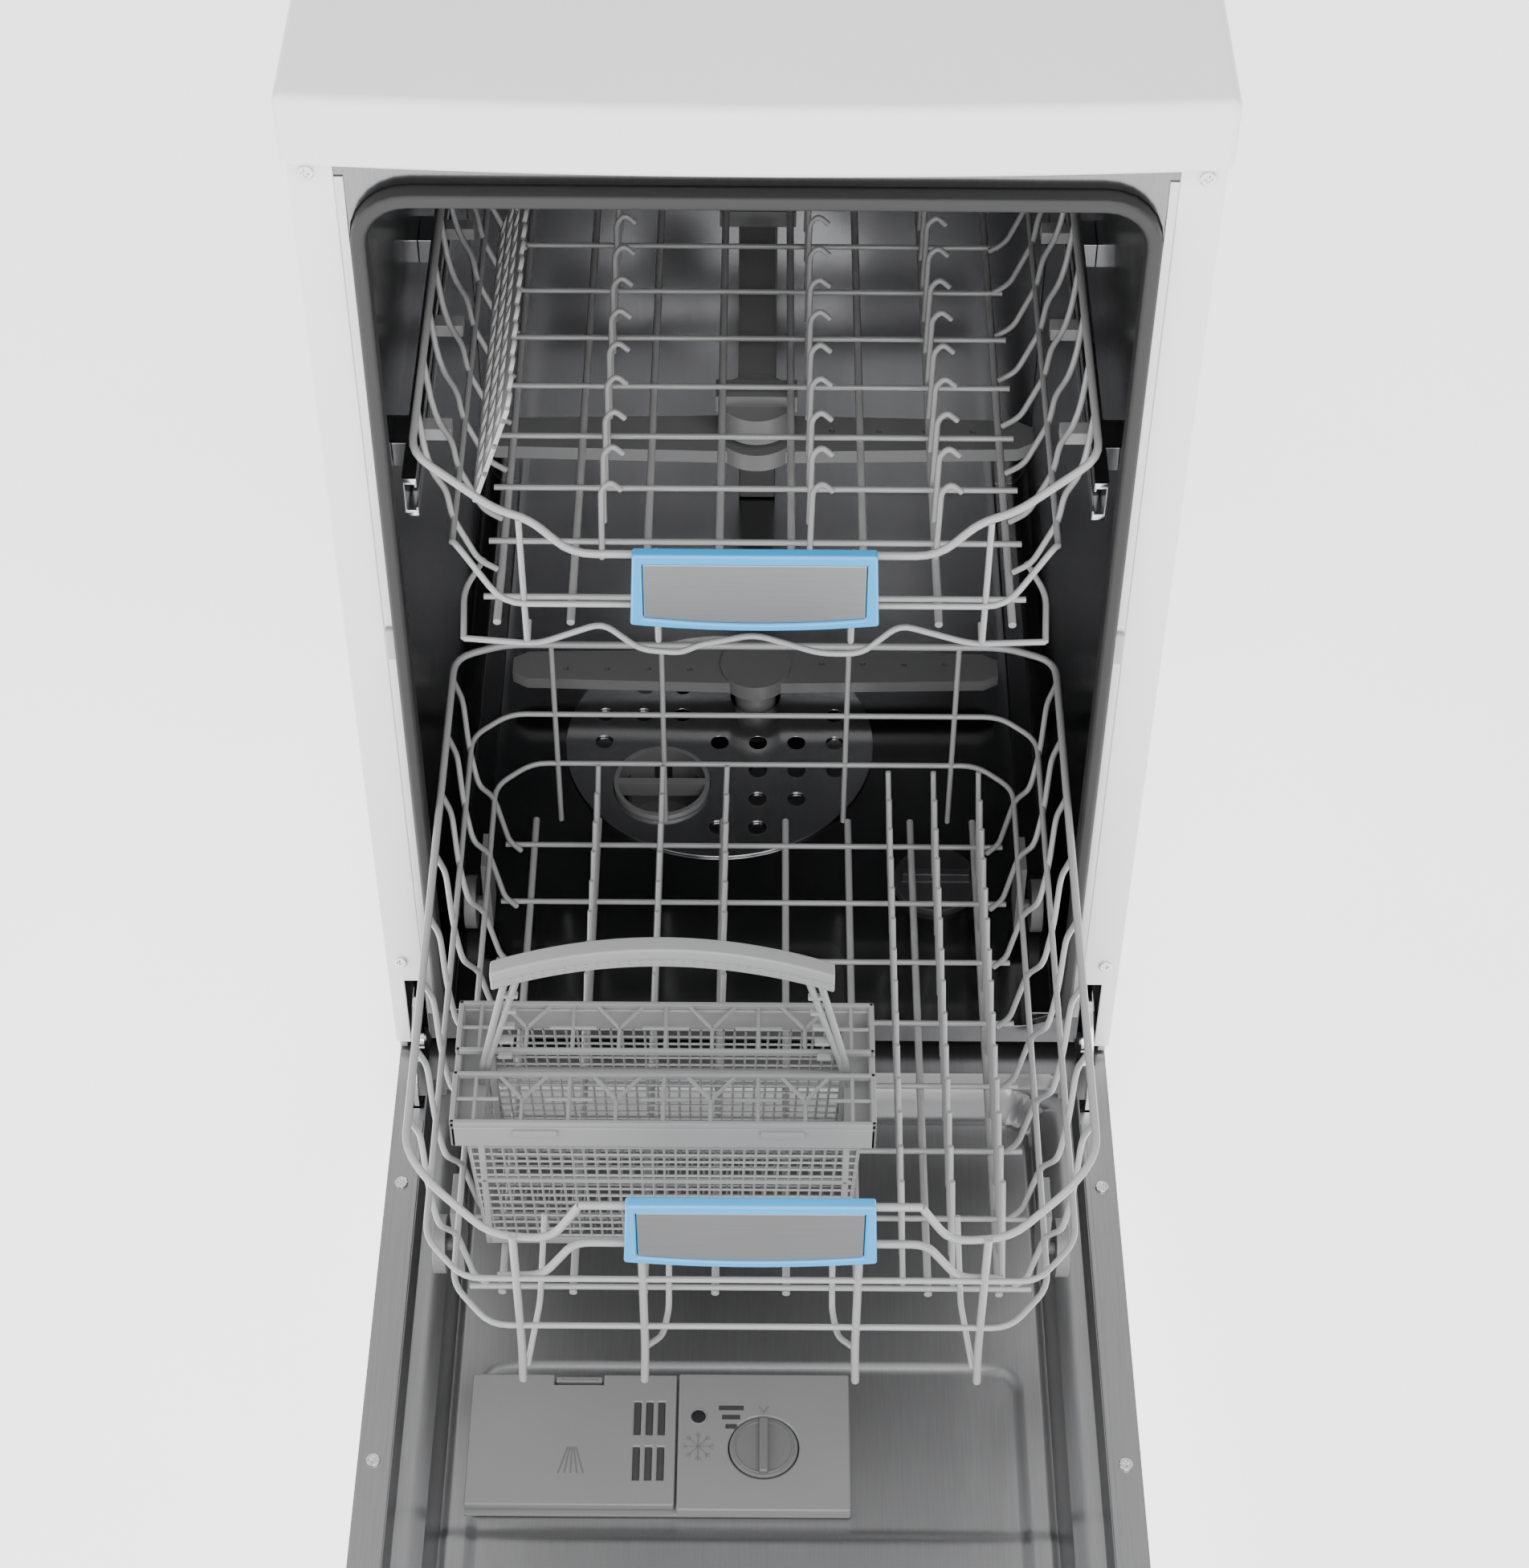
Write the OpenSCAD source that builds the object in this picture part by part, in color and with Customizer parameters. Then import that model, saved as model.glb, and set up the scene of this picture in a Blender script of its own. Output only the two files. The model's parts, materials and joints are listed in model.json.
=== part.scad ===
// Slim free-standing dishwasher, 45 cm class, shown with its door open and its racks loaded out.
// Cabinet axes: X to the right, Y from the front flange to the rear, Z up from the floor.

/* [Cabinet] */
// Width over the side panels
body_w = 448; // [430:1:600]
// Depth of the cabinet behind the front flange
body_d = 540; // [530:1:660]
// Height to the top of the worktop
body_h = 845; // [820:1:920]
// Thickness of the worktop
worktop_t = 40; // [25:1:46]
// Sheet thickness of panels, tub and door liner
sheet = 1.5; // [0.8:0.1:2]
// Width of the front flange of each side panel
flange_w = 22; // [19:1:26]
// Height of the levelling feet under the base tray
foot_h = 25; // [18:1:34]

/* [Tub] */
// From the outside of a side panel to the wash space
tub_side = 27; // [26:1:31]
// From the rear of the wash space to the back of the cabinet
tub_rear_gap = 35; // [25:1:41]
// Height of the tub floor above the floor
tub_floor_z = 150; // [149:1:152]
// Radius of the tub's front corners
tub_r = 30; // [20:1:40]
// Width of the door seal
seal_w = 8; // [6:0.5:9]

/* [Door] */
// Height of the hinge pin above the floor
pivot_z = 131; // [129:1:133]
// Hinge pin behind the front flange
pivot_y = 5; // [4:0.5:6]
// Thickness of the door
door_t = 60; // [52:1:66]
// Depth of the wheel ledges in the door liner
ledge_depth = 12; // [11:0.5:13]
// Depth of the dished field in the door liner
field_depth = 37; // [35:0.5:40]
// Height of the control panel
panel_h = 100; // [85:1:120]
// Travel of each button
button_travel = 2; // [1:0.5:3]

/* [Racks] */
// Diameter of the main rack wires
wire_d = 4.5; // [3.5:0.25:5]
// Diameter of the thin rack wires
thin_d = 3.5; // [2.5:0.25:4]
// From the wash space's side to the centre of the lower rack's rim
lower_side = 16; // [15:1:21]
// Height of the lower rack's floor wires
lower_z = 196; // [194:1:200]
// Height of the lower rack's walls
lower_wall = 156; // [130:1:165]
// Length of the lower rack
lower_len = 419; // [380:1:420]
// From the wash space's side to the centre of the upper rack's rim
upper_side = 19; // [17:1:25]
// From the ceiling of the wash space to the upper rack's rim
upper_headroom = 168; // [160:1:175]
// Depth of the upper rack from rim to floor
upper_drop = 117; // [100:1:120]
// Length of the upper rack
upper_len = 404; // [370:1:420]
// Width of the rack handles
handle_w = 132; // [110:1:150]
// Height of the rack handles
handle_h = 50; // [40:1:54]
// Radius of the lower rack's wheels
wheel_r = 17; // [15:0.5:17]

/* [Cutlery basket] */
// Width of the cutlery basket
basket_w = 232; // [200:1:240]
// Depth of the cutlery basket
basket_d = 86; // [76:1:90]
// Height of the cutlery basket
basket_h = 112; // [90:1:120]

/* [Hidden] */
$fn = 32;

half_w = body_w / 2;
tub_half = half_w - tub_side;
tub_w = 2 * tub_half;
inner_w = half_w - sheet;
top_z = body_h - worktop_t;
slack = 0.4;

// Door, laid out flat as it stands open: u runs outwards from the hinge pin, t downwards from it.
liner_t = pivot_y + 2;
door_end = top_z - 5 - pivot_z;
door_tail = 30;
door_half = half_w - 2;
skin_t = liner_t + door_t;
ledge_side = 6;
ledge_half = tub_half + ledge_side;
field_side = 19;
field_half = tub_half - field_side;
dish_start = 20;
dish_end = top_z - 17 - pivot_z;
field_end = dish_end - 42;
rise_start = 330;
rise = 3;

overhang = 14;
bow = 8;
front_y = pivot_y - door_end;
rear_y = body_d + 12;
mid_y = (front_y + rear_y) / 2;

tub_front = 2 * sheet;
tub_rear = body_d - tub_rear_gap;
tub_top = top_z - 20;
rail_top = lower_z - 38.5;
arm_y = 290;
sump_r = 62;
filter_pos = [-62, 205];
salt_pos = [118, 120];

upper_z = tub_top - upper_headroom;
upper_half = tub_half - upper_side;
upper_floor_z = upper_z - upper_drop;
upper_front = -9;
handle_front = -33;
upper_axis_y = 200;

lower_front = -287;
lower_half = tub_half - lower_side;
lower_rim = lower_z + lower_wall;
lower_back = lower_front + lower_len;
wheel_z = rail_top + slack + wheel_r;
front_wheel_y = -183;
rear_wheel_y = 80;

basket_side = 17;
basket_x = -lower_half + basket_side + basket_w / 2;
basket_y = -161;
basket_z = lower_z + thin_d * 1.4 + slack;

disp_w = 221;
disp_x = -52.5;
disp_u = 269.5;
disp_len = 91;
lid_gap = 0.6;

// ---- helpers ----

// Everything is drawn in cabinet axes and moved so that the origin is under the middle of the whole.
module place() { translate([0, -mid_y, 0]) children(); }

// A box from its lowest corner to its highest corner
module span(a, b) { translate(a) cube(b - a); }

// A box on the open door, from u0 to u1 outwards and from t0 to t1 downwards
module door_box(x0, x1, u0, u1, t0, t1) {
    span([x0, pivot_y - u1, pivot_z - t1], [x1, pivot_y - u0, pivot_z - t0]);
}

// Both sides of the cabinet
module both() { children(); mirror([1, 0, 0]) children(); }

// Points of a rectangle with round corners, centred on the origin
function round_rect(w, h, r, n = 6) = [
    for (c = [[1, 1, 0], [-1, 1, 90], [-1, -1, 180], [1, -1, 270]])
        for (i = [0 : n])
            [c[0] * (w / 2 - r) + r * cos(c[2] + 90 * i / n),
             c[1] * (h / 2 - r) + r * sin(c[2] + 90 * i / n)]];

// A rounded plate standing across Y, from y0 to y1
module upright(w, z0, z1, r, y0, y1) {
    translate([0, y1, (z0 + z1) / 2]) rotate([90, 0, 0])
        linear_extrude(y1 - y0) polygon(round_rect(w, z1 - z0, r));
}

// A rounded plate lying flat, from z0 to z1
module slab(w, d, r, x, y, z0, z1) {
    translate([x, y, z0]) linear_extrude(z1 - z0) polygon(round_rect(w, d, r));
}

// A straight wire between two points, with flats like a drawn octagon so that bends stay crisp
module rod(a, b, d) {
    v = b - a;
    l = norm(v);
    translate(a) rotate([0, acos(v[2] / l), atan2(v[1], v[0])]) translate([0, 0, -d * 0.35])
        cylinder(h = l + d * 0.7, d = d, $fn = 8);
}

// A bent wire through a list of points; each length runs a little past its bends
module wire(pts, d) { for (i = [0 : len(pts) - 2]) rod(pts[i], pts[i + 1], d); }

// The same points on the left, so that a list drawn for the right half makes one whole wire
function whole(right) = concat(
    [for (i = [len(right) - 1 : -1 : 0]) [-right[i][0], right[i][1], right[i][2]]], right);

// A disc or drum standing on Z
module drum(x, y, z0, z1, r) { translate([x, y, z0]) cylinder(h = z1 - z0, r = r, $fn = 48); }

// ---- cabinet ----

tray_wall = 3;

module base_tray() {
    color("dimgray") difference() {
        span([-inner_w + slack, 52, foot_h], [inner_w - slack, body_d - 2 * sheet, foot_h + 35]);
        span([-inner_w + slack + tray_wall, 52 + tray_wall, foot_h + tray_wall],
             [inner_w - slack - tray_wall, body_d - 2 * sheet - tray_wall, foot_h + 36]);
    }
}

module kick_plate() {
    color("white") span([-inner_w + slack, 44, 12], [inner_w - slack, 50, pivot_z - 31]);
}

module side_panel() {
    slot_half = 12;
    difference() {
        union() {
            span([inner_w, 0, pivot_z + 1], [half_w, body_d, top_z]);
            span([inner_w, 44, foot_h], [half_w, body_d, pivot_z + 1.5]);
            span([half_w - flange_w, 0, pivot_z + 1], [inner_w + 0.5, sheet, top_z]);
        }
        // slot for the hinge arm
        span([half_w - flange_w - 1, -1, pivot_z], [half_w - 9.5, sheet + 1, pivot_z + 61]);
    }
}

module side_panel_right() { color("white") side_panel(); }

module side_panel_left() { color("white") mirror([1, 0, 0]) side_panel(); }

valve_pos = [138, 81];
spigot_pos = [60, 81];

module back_panel() {
    color("gainsboro") difference() {
        span([-inner_w, body_d - sheet, foot_h + 36], [inner_w, body_d, top_z]);
        translate([valve_pos[0], body_d - 5, valve_pos[1]]) rotate([-90, 0, 0]) cylinder(h = 10, r = 9.3);
        translate([spigot_pos[0], body_d - 5, spigot_pos[1]]) rotate([-90, 0, 0]) cylinder(h = 10, r = 8.3);
    }
}

// Bowed front edge, with a rounded rim and a slightly raised border
module worktop() {
    side = half_w + 1;
    color("white") {
        translate([0, 0, top_z]) linear_extrude(worktop_t - 3) polygon(concat(
            [[side, rear_y], [-side, rear_y]],
            [for (i = [-10 : 10])
                [side * i / 10, -overhang - bow * (1 - pow(i / 10, 2))]]));
        translate([0, 0, body_h - 3.01]) linear_extrude(3.01) polygon(concat(
            [[side - 4, rear_y - 4], [-side + 4, rear_y - 4]],
            [for (i = [-10 : 10])
                [(side - 4) * i / 10, -overhang + 4 - bow * (1 - pow(i / 10, 2))]]));
    }
}

module tub() {
    color("silver") difference() {
        union() {
            upright(tub_w + 2 * sheet, tub_floor_z - sheet, tub_top + sheet, tub_r + sheet,
                    tub_front, tub_rear + sheet);
            // front frame, seated behind the side panels' flanges
            difference() {
                span([-half_w + flange_w - 1, sheet, pivot_z + 3],
                     [half_w - flange_w + 1, tub_front, top_z - 1]);
                upright(tub_w, tub_floor_z, tub_top, tub_r, 0, tub_front + 1);
            }
        }
        difference() {
            upright(tub_w, tub_floor_z, tub_top, tub_r, tub_front - 1, tub_rear);
            // raised tracks that carry the lower rack's wheels
            both() span([tub_half - 23, 6, tub_floor_z - 1], [tub_half - 7, tub_rear + 1, rail_top]);
        }
        drum(0, arm_y, tub_floor_z - 3, tub_floor_z + 1, sump_r - 4);
        drum(filter_pos[0], filter_pos[1], tub_floor_z - 3, tub_floor_z + 1, 34);
        drum(salt_pos[0], salt_pos[1], tub_floor_z - 3, tub_floor_z + 1, 28);
    }
}

module door_seal() {
    color("black") difference() {
        upright(tub_w - 2 * slack, tub_floor_z - 0.1 + slack, tub_top - slack, tub_r - slack, -8, 5);
        upright(tub_w - 2 * seal_w, tub_floor_z - 30, tub_top - seal_w, tub_r - seal_w, -9, 6);
        // open at the foot, where the rack rolls out
        span([-half_w, -9, tub_floor_z - 1], [half_w, 6, tub_floor_z + 16]);
    }
}

module sump() {
    floor_under = tub_floor_z - sheet;
    color("dimgray") difference() {
        union() {
            drum(0, arm_y, floor_under - 45, floor_under, sump_r);
            drum(filter_pos[0], filter_pos[1], floor_under - 60, floor_under, 38);
        }
        drum(0, arm_y, floor_under - 41, floor_under + 1, sump_r - 4);
        drum(filter_pos[0], filter_pos[1], floor_under - 56, floor_under + 1, 34);
    }
}

module filter_plate() {
    z0 = tub_floor_z + 0.2;
    color("silver") difference() {
        drum(-24, 245, z0, z0 + 1.5, 104);
        drum(0, arm_y, z0 - 1, z0 + 3, 17);
        drum(filter_pos[0], filter_pos[1], z0 - 1, z0 + 3, 32.5);
        for (i = [-3 : 3], j = [-3 : 3])
            if (norm([i * 26, j * 26]) < 88
                && norm([-24 + i * 26, 245 + j * 26] - filter_pos) > 48
                && norm([-24 + i * 26, 245 + j * 26 - arm_y]) > 34)
                drum(-24 + i * 26, 245 + j * 26, z0 - 1, z0 + 3, 6);
    }
}

module filter_cylinder() {
    color("whitesmoke") translate([filter_pos[0], filter_pos[1], 0]) {
        difference() {
            drum(0, 0, tub_floor_z - 48, tub_floor_z + 6, 32);
            drum(0, 0, tub_floor_z - 45, tub_floor_z + 7, 29);
            for (a = [0 : 60 : 300]) rotate([0, 0, a])
                span([-6, 20, tub_floor_z - 38], [6, 40, tub_floor_z - 8]);
        }
        // cross grip
        span([-29.5, -2.5, tub_floor_z - 6], [29.5, 2.5, tub_floor_z + 6]);
    }
}

module softener() {
    z1 = tub_floor_z - sheet;
    color("gainsboro") difference() {
        union() {
            span([58, 85, z1 - 75], [half_w - 34, 200, z1 - 3]);
            drum(salt_pos[0], salt_pos[1], z1 - 10, z1, 32);
        }
        drum(salt_pos[0], salt_pos[1], z1 - 68, z1 + 1, 28);
    }
}

module salt_cap() {
    color("dimgray") {
        drum(salt_pos[0], salt_pos[1], tub_floor_z - 12, tub_floor_z + 5, 27.6);
        span([salt_pos[0] - 22, salt_pos[1] - 3, tub_floor_z + 4.9],
             [salt_pos[0] + 22, salt_pos[1] + 3, tub_floor_z + 12]);
    }
}

module circulation_pump() {
    color("slategray") translate([-10, 410, 0]) {
        drum(0, 0, foot_h + 4, foot_h + 42, 42);
        translate([0, 0, foot_h + 41.5]) cylinder(h = 28, r = 30);
        span([-9, -58, foot_h + 14], [9, -38, foot_h + 34]);
    }
}

module drain_pump() {
    color("slategray") translate([-140, 250, foot_h + 34]) rotate([90, 0, 0]) {
        cylinder(h = 34, r = 27);
        translate([0, 0, -38]) cylinder(h = 38.5, r = 20);
    }
}

module inlet_valve() {
    color("whitesmoke") {
        span([valve_pos[0] - 18, body_d - 62, 66], [valve_pos[0] + 18, body_d - sheet - 0.2, 96]);
        translate([valve_pos[0], body_d + 0.1, valve_pos[1]]) rotate([-90, 0, 0]) difference() {
            union() {
                cylinder(h = 10, r = 13);
                translate([0, 0, -sheet - 0.5]) cylinder(h = 3, r = 9);
            }
            translate([0, 0, -sheet - 1]) cylinder(h = 20, r = 6);
        }
        // drain spigot
        translate([spigot_pos[0], body_d + 0.1, spigot_pos[1]]) rotate([-90, 0, 0]) difference() {
            union() {
                cylinder(h = 11, r = 10);
                translate([0, 0, -sheet - 0.5]) cylinder(h = 3, r = 8);
            }
            translate([0, 0, -sheet - 1]) cylinder(h = 20, r = 7);
        }
    }
}

module counterweight() {
    color("gray") span([-half_w + 34, 440, foot_h + 3], [-70, body_d - 12, foot_h + 35]);
    color("gray") span([60, 440, foot_h + 3], [half_w - 34, body_d - 12, foot_h + 30]);
}

// Hinge plates on the cabinet, each with a pin for the door
module hinge_bracket() {
    span([inner_w - 5, sheet + 0.2, pivot_z - 5], [inner_w - 0.3, 60, pivot_z + 120]);
    span([inner_w - 5, 51, pivot_z - 60], [inner_w - 0.3, 60, pivot_z - 4.9]);
    translate([half_w - 18.5, pivot_y, pivot_z]) rotate([0, 90, 0]) cylinder(h = 16, d = 6);
}

module hinge_brackets() { color("silver") both() hinge_bracket(); }

rail_x = tub_half - seal_w - 0.6;
rail_z = upper_z - 52;

// Channels that hold the upper rack's runners, on stand-offs that clear the door seal
module upper_rails() {
    color("silver") both() {
        difference() {
            span([rail_x - 8, 25, rail_z - 13], [rail_x, tub_rear - 35, rail_z + 13]);
            span([rail_x - 6.5, 20, rail_z - 9], [rail_x - 1.5, tub_rear, rail_z + 9]);
            span([rail_x - 10, 20, rail_z - 7], [rail_x - 6, tub_rear, rail_z + 7]);
        }
        for (y = [60, 240, 420]) span([rail_x - 0.1, y, rail_z - 8], [tub_half - 0.1, y + 24, rail_z + 8]);
    }
}

// Water pipe up the back wall and along the ceiling, with the top sprayer
module feed_pipe() {
    y1 = tub_rear - 0.5;
    z1 = tub_top - 1;
    color("gray") {
        span([-13, y1 - 9, tub_floor_z + 1], [13, y1, z1]);
        span([-10, 262, z1 - 9], [10, y1 - 8.9, z1]);
        drum(0, 250, z1 - 12, z1, 20);
        drum(0, 250, z1 - 22, z1 - 11.9, 32);
    }
}

module screw_head(r, h) {
    difference() {
        cylinder(h = h, r = r);
        for (a = [0, 90]) rotate([0, 0, a]) translate([-r * 0.55, -0.6, h - 0.8]) cube([r * 1.1, 1.2, 2]);
    }
}

module frame_screws() {
    x = half_w - 9;
    color("lightgray") both() {
        for (z = [pivot_z + 80, top_z - 12]) translate([x, 0, z]) rotate([90, 0, 0]) screw_head(4, 1.6);
    }
}

module foot() {
    color("dimgray") {
        cylinder(h = 9, r = 18);
        translate([0, 0, 8.9]) cylinder(h = foot_h - 9.1, r = 6);
    }
}

foot_x = half_w - 34;
foot_front_y = 85;
foot_rear_y = body_d - 40;

module foot_front_left() { translate([-foot_x, foot_front_y, 0]) foot(); }
module foot_front_right() { translate([foot_x, foot_front_y, 0]) foot(); }
module foot_rear_left() { translate([-foot_x, foot_rear_y, 0]) foot(); }
module foot_rear_right() { translate([foot_x, foot_rear_y, 0]) foot(); }

// ---- spray arms ----

module spray_arm(z, r) {
    difference() {
        union() {
            cylinder(h = 12, r = 24);
            for (a = [0, 180]) rotate([0, 0, a]) linear_extrude(9)
                polygon([[0, -17], [r - 10, -13], [r, -7], [r, 7], [r - 10, 13], [0, 17]]);
        }
        for (a = [0, 180]) rotate([0, 0, a]) for (x = [45 : 28 : r - 12])
            translate([x, 3, 6]) cylinder(h = 5, r = 2);
    }
}

module lower_spray_arm() {
    color("gray") translate([0, arm_y, 0]) {
        translate([0, 0, tub_floor_z + 21]) spray_arm(0, 165);
        drum(0, 0, tub_floor_z - 30, tub_floor_z + 21.5, 14);
    }
}

module upper_spray_arm() {
    color("gray") translate([0, upper_axis_y, upper_floor_z - 46]) {
        spray_arm(0, 165);
        translate([0, 0, 11.9]) cylinder(h = 6, r = 12);
    }
}

module upper_arm_mount() {
    z0 = upper_floor_z - 27.5;
    color("gray") {
        span([-11, upper_axis_y - 14, z0], [11, tub_rear - 25, z0 + 14]);
        drum(0, upper_axis_y, z0, z0 + 18, 22);
        for (y = [upper_axis_y, 380])
            span([-24, y - 8, z0 + 13.5], [24, y + 8, upper_floor_z - wire_d / 2 - 0.2]);
    }
}

// ---- door ----

module door_inner() {
    color("silver") difference() {
        union() {
            door_box(-door_half, door_half, -door_tail, door_end, liner_t, liner_t + sheet);
            door_box(-ledge_half - sheet, ledge_half + sheet, dish_start - sheet, dish_end + sheet,
                     liner_t, liner_t + ledge_depth + sheet);
            door_box(-field_half - sheet, field_half + sheet, dish_start - sheet, field_end + sheet,
                     liner_t, liner_t + field_depth + sheet);
        }
        door_box(-ledge_half, ledge_half, dish_start, dish_end, liner_t - 1, liner_t + ledge_depth);
        door_box(-field_half, field_half, dish_start, rise_start, liner_t - 1, liner_t + field_depth);
        door_box(-field_half, field_half, rise_start - 1, field_end, liner_t - 1,
                 liner_t + field_depth - rise);
        // opening for the dispenser
        door_box(disp_x - disp_w / 2 + 4, disp_x + disp_w / 2 - 4, disp_u - disp_len / 2 + 4,
                 disp_u + disp_len / 2 - 4, liner_t, liner_t + field_depth + 3);
        // clearance for the ears on the hinge pins and for the check arms
        both() door_box(half_w - 20, half_w - 9, -14, 14, liner_t - 1, liner_t + sheet + 1);
        both() door_box(half_w - 18.5, half_w - 13.5, 41, 51, liner_t - 1, liner_t + sheet + 1);
    }
}

module door_outer() {
    back = liner_t + sheet;
    end = door_end - panel_h - 1;
    color("white") difference() {
        door_box(-door_half, door_half, -door_tail, end, back, skin_t);
        door_box(-door_half + sheet, door_half - sheet, -door_tail + sheet, end + 1,
                 back - 1, skin_t - sheet);
    }
}

button_x = [-150, 40, 80, 160];
button_hole = [12, 12, 12, 16];

module control_panel() {
    back = liner_t + sheet;
    wall = 2.5;
    u0 = door_end - panel_h;
    color("white") difference() {
        door_box(-door_half, door_half, u0, door_end, back, skin_t);
        door_box(-door_half + wall, door_half - wall, u0 + wall, door_end - wall, back - 1, skin_t - wall);
        for (i = [0 : 3])
            translate([button_x[i], pivot_y - u0 - panel_h / 2, pivot_z - skin_t - 1])
                cylinder(h = wall + 2, r = button_hole[i] / 2 + 0.3);
        door_box(-door_half + wall, door_half - wall, u0 - 1, u0 + wall + 1, back - 1,
                 liner_t + field_depth + sheet + 0.4);
        door_box(-90, 0, u0 + panel_h / 2 - 12, u0 + panel_h / 2 + 12, skin_t - wall - 1, skin_t + 1);
    }
}

module display_window() {
    u = door_end - panel_h / 2;
    color("black") door_box(-90 + 0.2, -0.2, u - 12 + 0.2, u + 12 - 0.2, skin_t - 2.5, skin_t);
}

// A round key with an inner collar, pressed towards the panel
module key(i) {
    translate([button_x[i], pivot_y - door_end + panel_h / 2, pivot_z - skin_t]) {
        cylinder(h = button_travel + 6, r = button_hole[i] / 2);
        translate([0, 0, 2.8]) cylinder(h = 3, r = button_hole[i] / 2 + 2);
    }
}

module power_button() { color("lightgray") key(0); }
module program_button() { color("lightgray") key(1); }
module delay_button() { color("lightgray") key(2); }
module start_button() { color("lightgray") key(3); }

module door_latch() {
    color("dimgray") difference() {
        door_box(-28, 28, door_end - 34, door_end - 4, liner_t + 16, liner_t + 40);
        door_box(-16, 16, door_end - 28, door_end - 10, liner_t + 15, liner_t + 34);
    }
}

module door_screws() {
    x = door_half - 9;
    color("lightgray") both() for (u = [108, 301])
        translate([x, pivot_y - u, pivot_z - liner_t]) screw_head(4, 1.4);
}

// Ears on the pins and curved check arms that run into the slots
module hinge_arm() {
    x0 = half_w - 17.5;
    translate([x0, pivot_y, pivot_z]) rotate([90, 0, 90]) {
        difference() {
            union() {
                cylinder(h = 7, r = 6.5);
                translate([-6, -28, 0]) cube([12, 24, 7]);
                translate([-58, -28, 0]) cube([60, 12, 7]);
                translate([-50, -18, 0]) cube([8, 19, 3]);
                rotate([0, 0, 60]) rotate_extrude(angle = 120, $fn = 64) translate([42, 0]) square([8, 3]);
            }
            translate([0, 0, -1]) cylinder(h = 9, r = 3.05);
        }
    }
}

module hinge_arms() { color("silver") both() hinge_arm(); }

// ---- detergent dispenser ----

split_x = disp_x + 10;

module dispenser_body() {
    top_t = liner_t + field_depth;
    x0 = disp_x - disp_w / 2;
    x1 = disp_x + disp_w / 2;
    u0 = disp_u - disp_len / 2;
    u1 = disp_u + disp_len / 2;
    cap_x = 8;
    color("gray") difference() {
        union() {
            door_box(x0, x1, u0, u1, top_t - 3, top_t);
            door_box(x0 + 4.5, x1 - 4.5, u0 + 4.5, u1 - 4.5, top_t - 0.01, skin_t - sheet - 2);
            door_box(split_x + lid_gap, x1, u0, u1, top_t - 9, top_t - 2.99);
        }
        // powder chamber
        door_box(x0 + 12, split_x - 8, u0 + 12, u1 - 12, top_t - 4, skin_t - sheet - 5);
        // recess of the rinse-aid cap
        translate([cap_x, pivot_y - disp_u - 4, pivot_z - top_t - 10]) cylinder(h = 30, r = 20.5, $fn = 64);
    }
}

module dispenser_lid() {
    top_t = liner_t + field_depth;
    x0 = disp_x - disp_w / 2;
    u0 = disp_u - disp_len / 2;
    u1 = disp_u + disp_len / 2;
    color("gray") difference() {
        door_box(x0, split_x - lid_gap, u0 + 1, u1 - 3, top_t - 9, top_t - 3.3);
        door_box(-115, -86, u0 - 1, u0 + 8, top_t - 10, top_t);
        for (i = [0, 1, 2], j = [0, 1])
            door_box(split_x - 25 + i * 7, split_x - 21 + i * 7, disp_u - 26 + j * 30, disp_u - 4 + j * 30,
                     top_t - 10, top_t - 5);
    }
}

module dispenser_latch() {
    top_t = liner_t + field_depth;
    u0 = disp_u - disp_len / 2;
    color("gray") door_box(-114, -87, u0 + 2.6, u0 + 6, top_t - 8.5, top_t - 3.2);
}

module rinse_cap() {
    top_t = liner_t + field_depth;
    color("dimgray") translate([8, pivot_y - disp_u - 4, pivot_z - top_t]) {
        translate([0, 0, -9.8]) cylinder(h = 19.3, r = 20, $fn = 64);
        span([-2.5, -18, 9], [2.5, 18, 13]);
    }
}

// ---- lower rack ----

lower_floor_half = lower_half - 23;
lower_floor_front = lower_front + 60;
lower_pitch = 48;
upper_pitch = 45;
upper_floor_front = upper_front + 20;
post_x = [-124, -57, 57, 124];

module lower_rack_floor() {
    color("lightgray") {
        for (x = [-lower_floor_half + 18 : 40 : lower_floor_half - 18])
            wire([[x, lower_floor_front - 4, lower_z], [x, lower_back, lower_z]], wire_d);
        for (y = [lower_floor_front : lower_pitch : lower_back])
            wire([[-lower_floor_half, y, lower_z + thin_d * 0.9],
                  [lower_floor_half, y, lower_z + thin_d * 0.9]], thin_d);
    }
}

// Front rim: up at the handle, down in two dips, up to the corners
lower_rim_right = [
    [88, lower_front, lower_rim + 6], [104, lower_front, lower_rim - 24],
    [136, lower_front + 4, lower_rim - 26], [lower_half - 14, lower_front + 22, lower_rim - 6],
    [lower_half, lower_front + 40, lower_rim], [lower_half, lower_back - 8, lower_rim],
    [lower_half - 30, lower_back, lower_rim]];

// A level hoop round the lower rack at height z, half as wide as w
module lower_hoop(w, z) {
    wire(whole([[w - 22, lower_front, z], [w, lower_front + 26, z], [w, lower_back - 20, z],
                [w - 22, lower_back, z]]), thin_d);
    wire([[-w + 22, lower_back, z], [w - 22, lower_back, z]], thin_d);
}

lower_mid_half = lower_half - 7;
lower_mid_z = lower_rim - 60;
lower_low_half = lower_half - 19;
lower_low_z = lower_rim - 104;

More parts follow.
